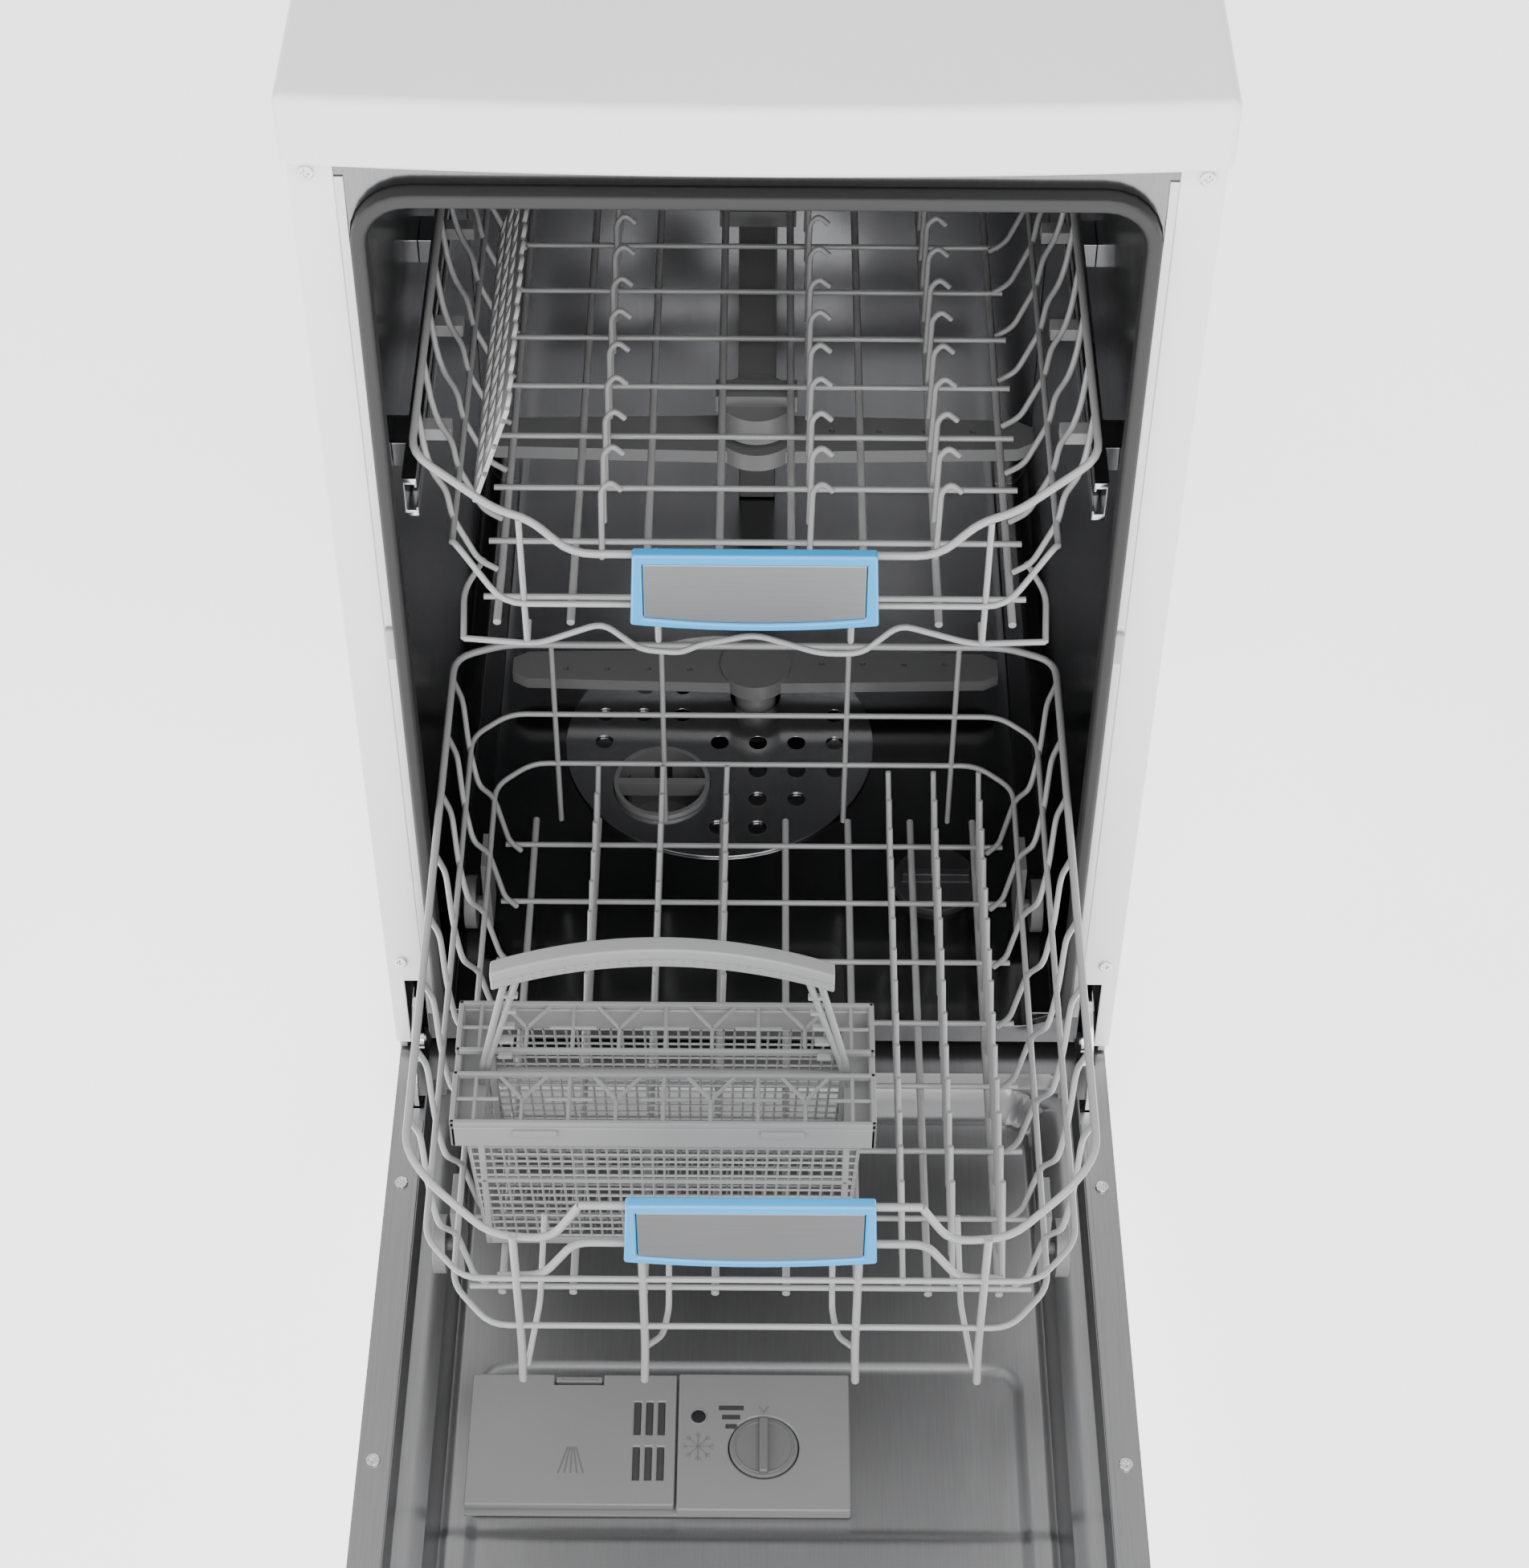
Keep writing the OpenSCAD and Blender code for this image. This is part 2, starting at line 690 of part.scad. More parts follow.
module lower_rack_walls() {
    color("lightgray") {
        wire(whole(lower_rim_right), wire_d);
        wire([[-lower_half + 30, lower_back, lower_rim], [lower_half - 30, lower_back, lower_rim]], wire_d);
        lower_hoop(lower_mid_half, lower_mid_z);
        lower_hoop(lower_low_half, lower_low_z);
        // side stakes from the floor to the rim
        both() for (y = [lower_floor_front : lower_pitch : lower_back - 20])
            wire([[lower_floor_half - 4, y, lower_z + 3], [lower_low_half + 2, y, lower_low_z],
                  [lower_mid_half + 1, y, lower_mid_z], [lower_half, y, lower_rim]], thin_d);
        for (x = post_x) {
            wire([[x, lower_front, lower_z], [x, lower_front, lower_rim - 26]], thin_d);
            wire([[x, lower_back, lower_z], [x, lower_back, lower_rim]], thin_d);
        }
    }
}

module lower_rack_tines() {
    color("lightgray") for (x = [86, 114, 142], y = [lower_front + 60 : 24 : lower_back - 30])
        wire([[x, y, lower_z + 1], [x - 3, y + 22, lower_z + 72]], thin_d);
    color("lightgray") for (x = [-100, -60, -20], y = [-60 : 24 : lower_back - 30])
        wire([[x, y, lower_z + 1], [x + 3, y + 22, lower_z + 72]], thin_d);
}

// A handle frame with a window for its plate; bow is the drop of the lower edge at the middle
module handle_frame(z0, y0) {
    w = handle_w / 2;
    drop = 4;
    translate([0, y0, 0]) rotate([90, 0, 0]) difference() {
        linear_extrude(7) polygon(concat(
            [[w - 2, z0 + handle_h], [-w + 2, z0 + handle_h]],
            [for (i = [-8 : 8]) [w * i / 8, z0 - drop * (1 - pow(i / 8, 2))]]));
        translate([0, 0, 3]) linear_extrude(5) polygon(concat(
            [[w - 7, z0 + handle_h - 7], [-w + 7, z0 + handle_h - 7]],
            [for (i = [-8 : 8]) [(w - 7) * i / 8, z0 + 5 - drop * (1 - pow(i / 8, 2))]]));
    }
}

module handle_plate(z0, y0) {
    w = handle_w / 2 - 7.3;
    drop = 4;
    translate([0, y0 - 3, 0]) rotate([90, 0, 0]) linear_extrude(3) polygon(concat(
        [[w, z0 + handle_h - 7.3], [-w, z0 + handle_h - 7.3]],
        [for (i = [-8 : 8]) [w * i / 8, z0 + 5.3 - drop * (1 - pow(i / 8, 2))]]));
}

lower_handle_z = lower_rim - 32;
lower_handle_y = lower_front - wire_d / 2 - 0.1;

module lower_handle_frame() { color("skyblue") handle_frame(lower_handle_z, lower_handle_y); }
module lower_handle_plate() { color("silver") handle_plate(lower_handle_z, lower_handle_y); }

axle_r = 4;
wheel_x = tub_half - 21.5;

module wheel_bracket(y) {
    span([wheel_x - 10.5, y - 14, wheel_z - 8], [wheel_x - 5.5, y + 14, lower_z + 28]);
    translate([wheel_x - 6, y, wheel_z]) rotate([0, 90, 0]) cylinder(h = 14, r = axle_r);
}

module wheel_brackets() {
    color("gray") both() { wheel_bracket(front_wheel_y); wheel_bracket(rear_wheel_y); }
}

module wheel(y) {
    translate([wheel_x, y, wheel_z]) rotate([0, 90, 0]) difference() {
        cylinder(h = 7.5, r = wheel_r, $fn = 48);
        translate([0, 0, -1]) cylinder(h = 10, r = axle_r + 0.08);
        for (a = [0 : 60 : 300]) rotate([0, 0, a]) translate([wheel_r * 0.62, 0, 5]) cylinder(h = 4, r = 2.2);
    }
}

module lower_wheels_front() { color("gray") both() wheel(front_wheel_y); }
module lower_wheels_rear() { color("gray") both() wheel(rear_wheel_y); }

// ---- cutlery basket ----

basket_wall = 2.5;
basket_top = basket_z + basket_h;
taper = 14;

// Outline of the basket at its foot and at its mouth, as stacked plates with mesh slots cut through
module cutlery_basket() {
    w = basket_w / 2;
    d = basket_d / 2;
    color("gray") translate([basket_x, basket_y, basket_z]) difference() {
        union() {
            span([-w + taper, -d + 3, 0], [w - taper, d - 3, basket_h - 16]);
            span([-w, -d, basket_h - 16.01], [w, d, basket_h]);
        }
        span([-w + taper + basket_wall, -d + 3 + basket_wall, basket_wall],
             [w - taper - basket_wall, d - 3 - basket_wall, basket_h + 1]);
        for (x = [-w + 18 : 22 : w - 24], z = [10 : 20 : basket_h - 34])
            span([x, -d - 5, z], [x + 15, d + 5, z + 14]);
        for (y = [-d + 12 : 18 : d - 20], z = [10 : 20 : basket_h - 34])
            span([-w - 5, y, z], [w + 5, y + 12, z + 14]);
    }
}

lid_t = 4;
handle_gap = 7;

// A slotted half lid, hinged along the outer edge of the basket
module basket_lid(s) {
    w = basket_w / 2;
    d = basket_d / 2;
    n = 6;
    pitch = (basket_w - 8) / n;
    translate([basket_x, basket_y, basket_top + 0.3]) mirror([0, s > 0 ? 1 : 0, 0]) difference() {
        span([-w, -d, 0], [w, -handle_gap, lid_t]);
        for (i = [0 : n - 1])
            span([-w + 7 + i * pitch, -d + 6, -1], [-w + 1 + (i + 1) * pitch, -handle_gap - 4, 6]);
    }
}

module basket_lid_front() { color("gray") basket_lid(-1); }
module basket_lid_rear() { color("gray") basket_lid(1); }

// Arched grip on two slanting posts, standing on the basket's end walls
module basket_handle() {
    w = 92;
    rise_z = basket_top + 84;
    color("gray") translate([basket_x, basket_y, 0]) {
        rotate([90, 0, 0]) translate([0, 0, -5]) linear_extrude(10) polygon(concat(
            [for (i = [-8 : 8]) [w * i / 8, rise_z + 26 * (1 - pow(i / 8, 2)) * 0.8]],
            [for (i = [8 : -1 : -8]) [w * i / 8, rise_z - 9 + 22 * (1 - pow(i / 8, 2)) * 0.8]]));
        both() rotate([90, 0, 0]) translate([0, 0, -3]) linear_extrude(6) polygon([
            [w - 4, rise_z - 2], [w - 18, rise_z - 4], [basket_w / 2 - 12, basket_top - 6],
            [basket_w / 2 - 12, basket_top - 30], [basket_w / 2 - 8.6, basket_top - 30],
            [basket_w / 2 - 8.6, basket_top]]);
    }
}

// ---- upper rack ----

upper_floor_half = upper_half - 30;
upper_back = upper_front + upper_len;

module upper_rack_floor() {
    color("lightgray") {
        for (x = [-upper_floor_half + 8 : 40 : upper_floor_half - 8])
            wire([[x, upper_front + 4, upper_floor_z], [x, upper_back, upper_floor_z]], wire_d);
        for (y = [upper_floor_front : upper_pitch : upper_back])
            wire([[-upper_floor_half, y, upper_floor_z + thin_d * 0.9],
                  [upper_floor_half, y, upper_floor_z + thin_d * 0.9]], thin_d);
    }
}

upper_mid_half = upper_half - 15;
dip_z = upper_z - 50;
low_z = upper_z - 88;
upper_wall_y = handle_front + 12;

module upper_rack_walls() {
    color("lightgray") {
        wire(whole([[96, upper_wall_y, dip_z], [117, upper_wall_y + 2, dip_z + 22],
                    [136, upper_wall_y + 7, dip_z + 26], [upper_half, upper_front + 6, upper_z],
                    [upper_half, upper_back - 8, upper_z], [upper_half - 26, upper_back, upper_z]]), wire_d);
        wire([[-upper_half + 26, upper_back, upper_z], [upper_half - 26, upper_back, upper_z]], wire_d);
        wire(whole([[128, upper_wall_y, low_z], [upper_mid_half, upper_front + 10, low_z + 12],
                    [upper_mid_half, upper_back - 18, low_z + 12],
                    [upper_mid_half - 18, upper_back, low_z + 12]]), thin_d);
        wire([[-upper_mid_half + 18, upper_back, low_z + 12],
              [upper_mid_half - 18, upper_back, low_z + 12]], thin_d);
        both() for (y = [upper_floor_front : upper_pitch : upper_back - 20])
            wire([[upper_floor_half - 3, y, upper_floor_z + 3], [upper_mid_half + 2, y, low_z + 12],
                  [upper_half, y, upper_z]], thin_d);
        for (x = [-132, -56, 56, 132]) {
            front_x = x * 0.93;
            wire([[x, upper_front + 4, upper_floor_z], [front_x, upper_wall_y, low_z],
                  [front_x, upper_wall_y + 2, dip_z + (abs(x) > 100 ? 24 : 2)]], thin_d);
            wire([[x, upper_back, upper_floor_z], [x, upper_back, upper_z]], thin_d);
        }
        // runners that ride in the tub's rails
        both() {
            span([rail_x - 6, 44, rail_z - 6], [rail_x - 3, upper_back - 10, rail_z + 6]);
            for (y = [upper_front + 87 : 90 : upper_back - 40])
                span([upper_mid_half + 3, y - 5, rail_z - 4], [rail_x - 5.9, y + 5, rail_z + 4]);
        }
    }
}

upper_handle_z = upper_z - 90;
upper_handle_y = handle_front + 7;

module upper_handle_frame() { color("skyblue") handle_frame(upper_handle_z, upper_handle_y); }
module upper_handle_plate() { color("silver") handle_plate(upper_handle_z, upper_handle_y); }

shelf_pivot = [-upper_half + 28, upper_z - 52];
shelf_len = 235;
shelf_w = 74;
shelf_lean = 18;

// Folding cup shelf, folded up and leaning on the left wall
module cup_shelf() {
    color("lightgray") translate([shelf_pivot[0], 20, shelf_pivot[1]])
    rotate([0, shelf_lean, 0]) difference() {
        span([-1.5, 0, 0], [1.5, shelf_len, shelf_w]);
        for (y = [10 : 20 : shelf_len - 20], z = [14, 42]) span([-3, y, z], [3, y + 14, z + 20]);
    }
}

place() base_tray();
place() kick_plate();
place() side_panel_left();
place() side_panel_right();
place() back_panel();
place() worktop();
place() tub();
place() door_seal();
place() sump();
place() filter_plate();
place() filter_cylinder();
place() softener();
place() salt_cap();
place() circulation_pump();
place() drain_pump();
place() inlet_valve();
place() counterweight();
place() hinge_brackets();
place() upper_rails();
place() feed_pipe();
place() frame_screws();
place() foot_front_left();
place() foot_front_right();
place() foot_rear_left();
place() foot_rear_right();
place() lower_spray_arm();
place() upper_spray_arm();
place() upper_arm_mount();
place() door_inner();
place() door_outer();
place() control_panel();
place() display_window();
place() door_latch();
place() door_screws();
place() hinge_arms();
place() dispenser_body();
place() dispenser_lid();
place() dispenser_latch();
place() rinse_cap();
place() power_button();
place() program_button();
place() delay_button();
place() start_button();
place() lower_rack_floor();
place() lower_rack_walls();
place() lower_rack_tines();
place() lower_handle_frame();
place() lower_handle_plate();
place() wheel_brackets();
place() lower_wheels_front();
place() lower_wheels_rear();
place() cutlery_basket();
place() basket_lid_front();
place() basket_lid_rear();
place() basket_handle();
place() upper_rack_floor();
place() upper_rack_walls();
place() upper_handle_frame();
place() upper_handle_plate();
place() cup_shelf();
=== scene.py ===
# Slim dishwasher: door down, racks out. Metres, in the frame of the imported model.
import json
import math

import bpy
from mathutils import Matrix, Vector


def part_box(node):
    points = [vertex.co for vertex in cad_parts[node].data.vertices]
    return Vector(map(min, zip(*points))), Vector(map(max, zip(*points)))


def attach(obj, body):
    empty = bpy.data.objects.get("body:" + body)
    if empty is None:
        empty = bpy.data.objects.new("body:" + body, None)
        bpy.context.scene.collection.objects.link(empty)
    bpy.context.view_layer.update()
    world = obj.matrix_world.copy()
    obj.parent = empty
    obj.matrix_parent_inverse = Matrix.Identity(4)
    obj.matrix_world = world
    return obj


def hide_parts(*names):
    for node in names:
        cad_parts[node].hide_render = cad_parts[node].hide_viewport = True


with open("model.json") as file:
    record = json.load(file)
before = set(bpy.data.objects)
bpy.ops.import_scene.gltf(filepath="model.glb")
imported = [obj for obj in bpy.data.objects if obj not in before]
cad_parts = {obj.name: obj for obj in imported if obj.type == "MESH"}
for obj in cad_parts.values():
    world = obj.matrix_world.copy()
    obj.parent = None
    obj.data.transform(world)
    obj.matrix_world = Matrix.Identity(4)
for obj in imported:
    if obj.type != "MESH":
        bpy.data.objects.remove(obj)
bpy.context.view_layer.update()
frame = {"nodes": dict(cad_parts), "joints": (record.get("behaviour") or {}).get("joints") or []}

MM = 0.001
bpy.ops.object.select_all(action="DESELECT")
JOINTS = {j["name"]: j for j in frame["joints"]}
PIVOT = Vector(JOINTS["door_hinge"]["pos_m"])
FRONT_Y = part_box("tub")[0].y - 1.5 * MM

# Wire diameters, wire spacing and usual bend radius of both racks
RIM_WIRE, FINE_WIRE = 4.5 * MM, 3.5 * MM
FLOOR_PITCH = 0.04
BEND = 0.008
# Edges sharper than this, in degrees, are rounded and shaded as edges
EDGE_ANGLE = 35


# ---------------------------------------------------------------- camera and light

def add_camera():
    """A long lens above and in front of the open door, tilted steeply down."""
    tilt, swing, roll = math.radians(46.64), math.radians(0.14), math.radians(0.47)
    look = Vector((math.sin(swing) * math.cos(tilt), math.cos(swing) * math.cos(tilt), -math.sin(tilt)))
    side = Vector((math.cos(swing), -math.sin(swing), 0))
    up = side.cross(look)
    right = side * math.cos(roll) + up * math.sin(roll)
    top = up * math.cos(roll) - side * math.sin(roll)
    data = bpy.data.cameras.new("camera")
    data.sensor_fit = "VERTICAL"
    data.sensor_height = 36
    data.lens = 72.3
    data.clip_end = 50
    camera = bpy.data.objects.new("camera", data)
    turn = Matrix((right, top, -look)).transposed().to_4x4()
    camera.matrix_world = Matrix.Translation((0.003, FRONT_Y - 1.2407, 1.6843)) @ turn
    bpy.context.scene.collection.objects.link(camera)
    bpy.context.scene.camera = camera


def soft_light(name, size, power, place, target):
    data = bpy.data.lights.new(name, "AREA")
    data.shape = "RECTANGLE"
    data.size, data.size_y = size
    data.energy = power
    lamp = bpy.data.objects.new(name, data)
    place = Vector(place)
    lamp.rotation_euler = (Vector(target) - place).to_track_quat("-Z", "Y").to_euler()
    lamp.location = place
    bpy.context.scene.collection.objects.link(lamp)


def add_studio():
    world = bpy.data.worlds.new("studio")
    world.use_nodes = True
    sky = world.node_tree.nodes["Background"]
    sky.inputs["Color"].default_value = (1, 1, 1, 1)
    sky.inputs["Strength"].default_value = 1.05
    bpy.context.scene.world = world
    soft_light("key_light", (2.4, 1.6), 62, (0.7, -1.7, 2.6), (0, 0.1, 0.5))
    soft_light("fill_light", (1.6, 2.0), 30, (-2.0, -0.9, 1.5), (0, 0, 0.4))
    soft_light("front_light", (1.2, 0.8), 20, (0, -2.4, 1.0), (0, 0.3, 0.5))
    bpy.ops.mesh.primitive_plane_add(size=14, location=(0, 0, -0.0005))
    floor = bpy.context.object
    floor.name = "studio_floor"
    bpy.ops.object.transform_apply(location=True, scale=True)
    paint = plain_finish("floor_paint", (0.95, 0.95, 0.95), 0.7, grain=0.02, grain_size=40)
    shader = paint.node_tree.nodes["Principled BSDF"]
    shader.inputs["Emission Color"].default_value = (1, 1, 1, 1)
    shader.inputs["Emission Strength"].default_value = 1.6
    floor.data.materials.append(paint)
    bpy.ops.object.select_all(action="DESELECT")


# ---------------------------------------------------------------- finishes

def _start(name):
    mat = bpy.data.materials.new(name)
    mat.use_nodes = True
    tree = mat.node_tree
    shader = tree.nodes["Principled BSDF"]
    place = tree.nodes.new("ShaderNodeTexCoord")
    return mat, tree, shader, place


def _noise(tree, place, scale, detail=3.0, stretch=(1, 1, 1)):
    turn = tree.nodes.new("ShaderNodeMapping")
    turn.inputs["Scale"].default_value = stretch
    tree.links.new(place.outputs["Object"], turn.inputs["Vector"])
    noise = tree.nodes.new("ShaderNodeTexNoise")
    noise.inputs["Scale"].default_value = scale
    noise.inputs["Detail"].default_value = detail
    tree.links.new(turn.outputs["Vector"], noise.inputs["Vector"])
    return noise.outputs["Fac"]


def _range(tree, fac, low, high):
    spread = tree.nodes.new("ShaderNodeMapRange")
    spread.inputs["To Min"].default_value = low
    spread.inputs["To Max"].default_value = high
    tree.links.new(fac, spread.inputs["Value"])
    return spread.outputs["Result"]


def _tint(tree, fac, dark, light):
    ramp = tree.nodes.new("ShaderNodeValToRGB")
    ramp.color_ramp.elements[0].position = 0.3
    ramp.color_ramp.elements[1].position = 0.7
    ramp.color_ramp.elements[0].color = (*dark, 1)
    ramp.color_ramp.elements[1].color = (*light, 1)
    tree.links.new(fac, ramp.inputs["Fac"])
    return ramp.outputs["Color"]


def _bump(tree, fac, shader, distance, strength=0.4):
    bump = tree.nodes.new("ShaderNodeBump")
    bump.inputs["Distance"].default_value = distance
    bump.inputs["Strength"].default_value = strength
    tree.links.new(fac, bump.inputs["Height"])
    tree.links.new(bump.outputs["Normal"], shader.inputs["Normal"])


def plain_finish(name, colour, rough, grain=0.05, grain_size=900, coat=0.0, bump=0.00006, specular=0.5):
    """Moulded plastic, enamel or rubber: a fine grain, a slow drift of tone and uneven gloss."""
    mat, tree, shader, place = _start(name)
    slow = _noise(tree, place, 9)
    fine = _noise(tree, place, grain_size, 2)
    dark = tuple(c * (1 - grain) for c in colour)
    light = tuple(min(1, c * (1 + grain * 0.5)) for c in colour)
    tree.links.new(_tint(tree, slow, dark, light), shader.inputs["Base Color"])
    tree.links.new(_range(tree, slow, rough * 0.88, rough * 1.12), shader.inputs["Roughness"])
    shader.inputs["Specular IOR Level"].default_value = specular
    shader.inputs["Coat Weight"].default_value = coat
    shader.inputs["Coat Roughness"].default_value = 0.12
    _bump(tree, fine, shader, bump)
    return mat


def steel_finish(name, colour, rough, stretch, line=1400, bump=0.00004, waves=0.0):
    """Rolled or brushed steel: long fine lines, a cloudy gloss, and slow waves where it is pressed thin."""
    mat, tree, shader, place = _start(name)
    lines = _noise(tree, place, line, 2, stretch)
    cloud = _noise(tree, place, 6)
    tree.links.new(_tint(tree, lines, tuple(c * 0.9 for c in colour), colour), shader.inputs["Base Color"])
    shader.inputs["Metallic"].default_value = 1.0
    tree.links.new(_range(tree, cloud, rough * 0.8, rough * 1.3), shader.inputs["Roughness"])
    if waves:
        _bump(tree, _noise(tree, place, 14, 1), shader, waves, 0.5)
    else:
        _bump(tree, lines, shader, bump)
    return mat


def add_finishes():
    return {
        "worktop_white": plain_finish("worktop_white", (0.9, 0.9, 0.9), 0.42, 0.012, 1600, specular=0.4),
        "white_enamel": plain_finish("white_enamel", (0.87, 0.87, 0.875), 0.28, 0.012, 700,
                                     coat=0.3, bump=0.00003),
        # The tub's stainless steel gets a far darker colour than the frame's steel: painted shade for the
        # inside of the tub.
        "tub_steel": steel_finish("tub_steel", (0.2, 0.2, 0.205), 0.16, (1, 1, 0.02), waves=0.0012),
        "frame_steel": steel_finish("frame_steel", (0.62, 0.62, 0.63), 0.3, (1, 1, 0.02)),
        "liner_steel": steel_finish("liner_steel", (0.34, 0.34, 0.345), 0.34, (1, 0.02, 1)),
        "bright_steel": steel_finish("bright_steel", (0.72, 0.72, 0.73), 0.16, (1, 1, 1), 500),
        "plate_steel": steel_finish("plate_steel", (0.3, 0.3, 0.305), 0.36, (0.015, 1, 1), 1800, 0.00006),
        "zinc_sheet": steel_finish("zinc_sheet", (0.5, 0.5, 0.51), 0.42, (1, 1, 1), 60),
        "black_rubber": plain_finish("black_rubber", (0.018, 0.018, 0.018), 0.55, 0.2, 500),
        "grey_plastic": plain_finish("grey_plastic", (0.17, 0.17, 0.172), 0.4, 0.04, 1500, bump=0.00008),
        "cap_plastic": plain_finish("cap_plastic", (0.12, 0.12, 0.122), 0.38, 0.04, 1500),
        "pale_plastic": plain_finish("pale_plastic", (0.25, 0.25, 0.25), 0.38, 0.03, 1300, bump=0.00006),
        "shelf_plastic": plain_finish("shelf_plastic", (0.45, 0.45, 0.45), 0.35, 0.03, 1300),
        "dark_plastic": plain_finish("dark_plastic", (0.035, 0.035, 0.038), 0.45, 0.1, 900),
        # Near-black: print for the level sign, and painted shade on the floors of the lid's slots.
        "ink_and_slot_shade": plain_finish("ink_and_slot_shade", (0.03, 0.03, 0.03), 0.5, 0.1, 900),
        "coated_wire": plain_finish("coated_wire", (0.31, 0.31, 0.31), 0.3, 0.05, 260,
                                    coat=0.25, bump=0.0001),
        "blue_plastic": plain_finish("blue_plastic", (0.018, 0.33, 0.72), 0.26, 0.03, 1200, coat=0.4),
        "window_black": plain_finish("window_black", (0.01, 0.01, 0.012), 0.08, 0.05, 900, coat=0.6),
        "concrete_grey": plain_finish("concrete_grey", (0.3, 0.29, 0.27), 0.9, 0.15, 120, bump=0.0006),
    }


# ---------------------------------------------------------------- making pieces

def dress(piece, finish, body, slot, *nodes):
    """Gives a finished piece its material and its body, and hides the CAD nodes that it stands for; the slot is
    not used.
    """
    piece.data.materials.clear()
    piece.data.materials.append(FINISH[finish])
    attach(piece, body)
    if nodes:
        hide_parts(*nodes)
    bpy.ops.object.select_all(action="DESELECT")
    return piece


def only(piece):
    """Selects one piece and makes it the active one."""
    bpy.ops.object.select_all(action="DESELECT")
    piece.select_set(True)
    bpy.context.view_layer.objects.active = piece


def bevelled(piece, width, segments=2, angle=EDGE_ANGLE):
    """Rounds a piece's edges, cuts its many-sided faces into triangles and evens out its shading."""
    only(piece)
    mod = piece.modifiers.new("edges", "BEVEL")
    mod.width = width
    mod.segments = segments
    mod.limit_method = "ANGLE"
    mod.angle_limit = math.radians(angle)
    mod.use_clamp_overlap = True
    bpy.ops.object.modifier_apply(modifier=mod.name)
    bpy.ops.object.shade_smooth_by_angle(angle=math.radians(EDGE_ANGLE))
    cut = piece.modifiers.new("cut", "TRIANGULATE")
    cut.min_vertices = 5
    bpy.ops.object.modifier_apply(modifier=cut.name)
    even = piece.modifiers.new("even", "WEIGHTED_NORMAL")
    even.keep_sharp = True
    bpy.ops.object.modifier_apply(modifier=even.name)
    return piece


def eased(node, width, segments=2, angle=EDGE_ANGLE):
    """A copy of a CAD node's mesh with its flat faces joined up and its edges rounded."""
    source = frame["nodes"][node]
    piece = bpy.data.objects.new(node + "_shell", source.data.copy())
    bpy.context.scene.collection.objects.link(piece)
    only(piece)
    bpy.ops.object.mode_set(mode="EDIT")
    bpy.ops.mesh.select_all(action="SELECT")
    bpy.ops.mesh.remove_doubles(threshold=0.00002)
    bpy.ops.mesh.dissolve_limited(angle_limit=math.radians(1.0))
    bpy.ops.object.mode_set(mode="OBJECT")
    return bevelled(piece, width, segments, angle)


def block(name, low, high, round_by=0.0005, segments=2):
    """A box between two corners with rounded edges."""
    low, high = Vector(low), Vector(high)
    bpy.ops.mesh.primitive_cube_add(size=1, location=(low + high) / 2)
    piece = bpy.context.object
    piece.name = name
    piece.scale = high - low
    bpy.ops.object.transform_apply(location=True, rotation=True, scale=True)
    return bevelled(piece, round_by, segments)


def turned(name, centre, radius, depth, axis="Z", sides=40, round_by=0.0005):
    """A disc or drum on an axis through its centre, with rounded edges."""
    turn = {"X": (0, math.pi / 2, 0), "Y": (math.pi / 2, 0, 0), "Z": (0, 0, 0)}[axis]
    bpy.ops.mesh.primitive_cylinder_add(vertices=sides, radius=radius, depth=depth,
                                        location=centre, rotation=turn)
    piece = bpy.context.object
    piece.name = name
    bpy.ops.object.transform_apply(location=True, rotation=True, scale=True)
    return bevelled(piece, round_by, 2)


def joined(name, pieces):
    """Makes one piece of several."""
    bpy.ops.object.select_all(action="DESELECT")
    for p in pieces:
        p.select_set(True)
    bpy.context.view_layer.objects.active = pieces[0]
    bpy.ops.object.join()
    whole = bpy.context.object
    whole.name = name
    bpy.ops.object.select_all(action="DESELECT")
    return whole


def filleted(points, radius, steps=4):
    """The points of a wire with each bend turned on an arc."""
    out = [Vector(points[0])]
    for i in range(1, len(points) - 1):
        a, b, c = Vector(points[i - 1]), Vector(points[i]), Vector(points[i + 1])
        r = min(radius, (a - b).length * 0.45, (c - b).length * 0.45)
        p, q = b + (a - b).normalized() * r, b + (c - b).normalized() * r
        for k in range(steps + 1):
            t = k / steps
            out.append(p * (1 - t) ** 2 + b * 2 * t * (1 - t) + q * t ** 2)
    out.append(Vector(points[-1]))
    return out


def wires(name, runs, sides=2):
    """Bent wires, each a (points, diameter, bend radius) run, drawn as a bevelled curve and made a mesh."""
    made = []
    for diameter in sorted({r[1] for r in runs}):
        bpy.ops.curve.primitive_bezier_curve_add()
        curve = bpy.context.object
        curve.location = (0, 0, 0)
        curve.data.splines.clear()
        curve.data.dimensions = "3D"
        curve.data.bevel_depth = diameter / 2
        curve.data.bevel_resolution = sides
        curve.data.use_fill_caps = True
        for points, d, radius in runs:
            if d != diameter:
                continue
            path = filleted(points, radius) if radius else [Vector(p) for p in points]
            spline = curve.data.splines.new("POLY")
            spline.points.add(len(path) - 1)
            for point, co in zip(spline.points, path):
                point.co = (*co, 1)
        only(curve)
        bpy.ops.object.convert(target="MESH")
        bpy.ops.object.mode_set(mode="EDIT")
        bpy.ops.mesh.select_all(action="SELECT")
        bpy.ops.mesh.remove_doubles(threshold=0.000002)
        bpy.ops.mesh.normals_make_consistent(inside=False)
        bpy.ops.object.mode_set(mode="OBJECT")
        bpy.ops.object.shade_smooth_by_angle(angle=math.radians(50))
        made.append(bpy.context.object)
    return joined(name, made)


def mirrored(points):
    """The same points on the other side of the middle plane."""
    return [(-x, y, z) for x, y, z in points]


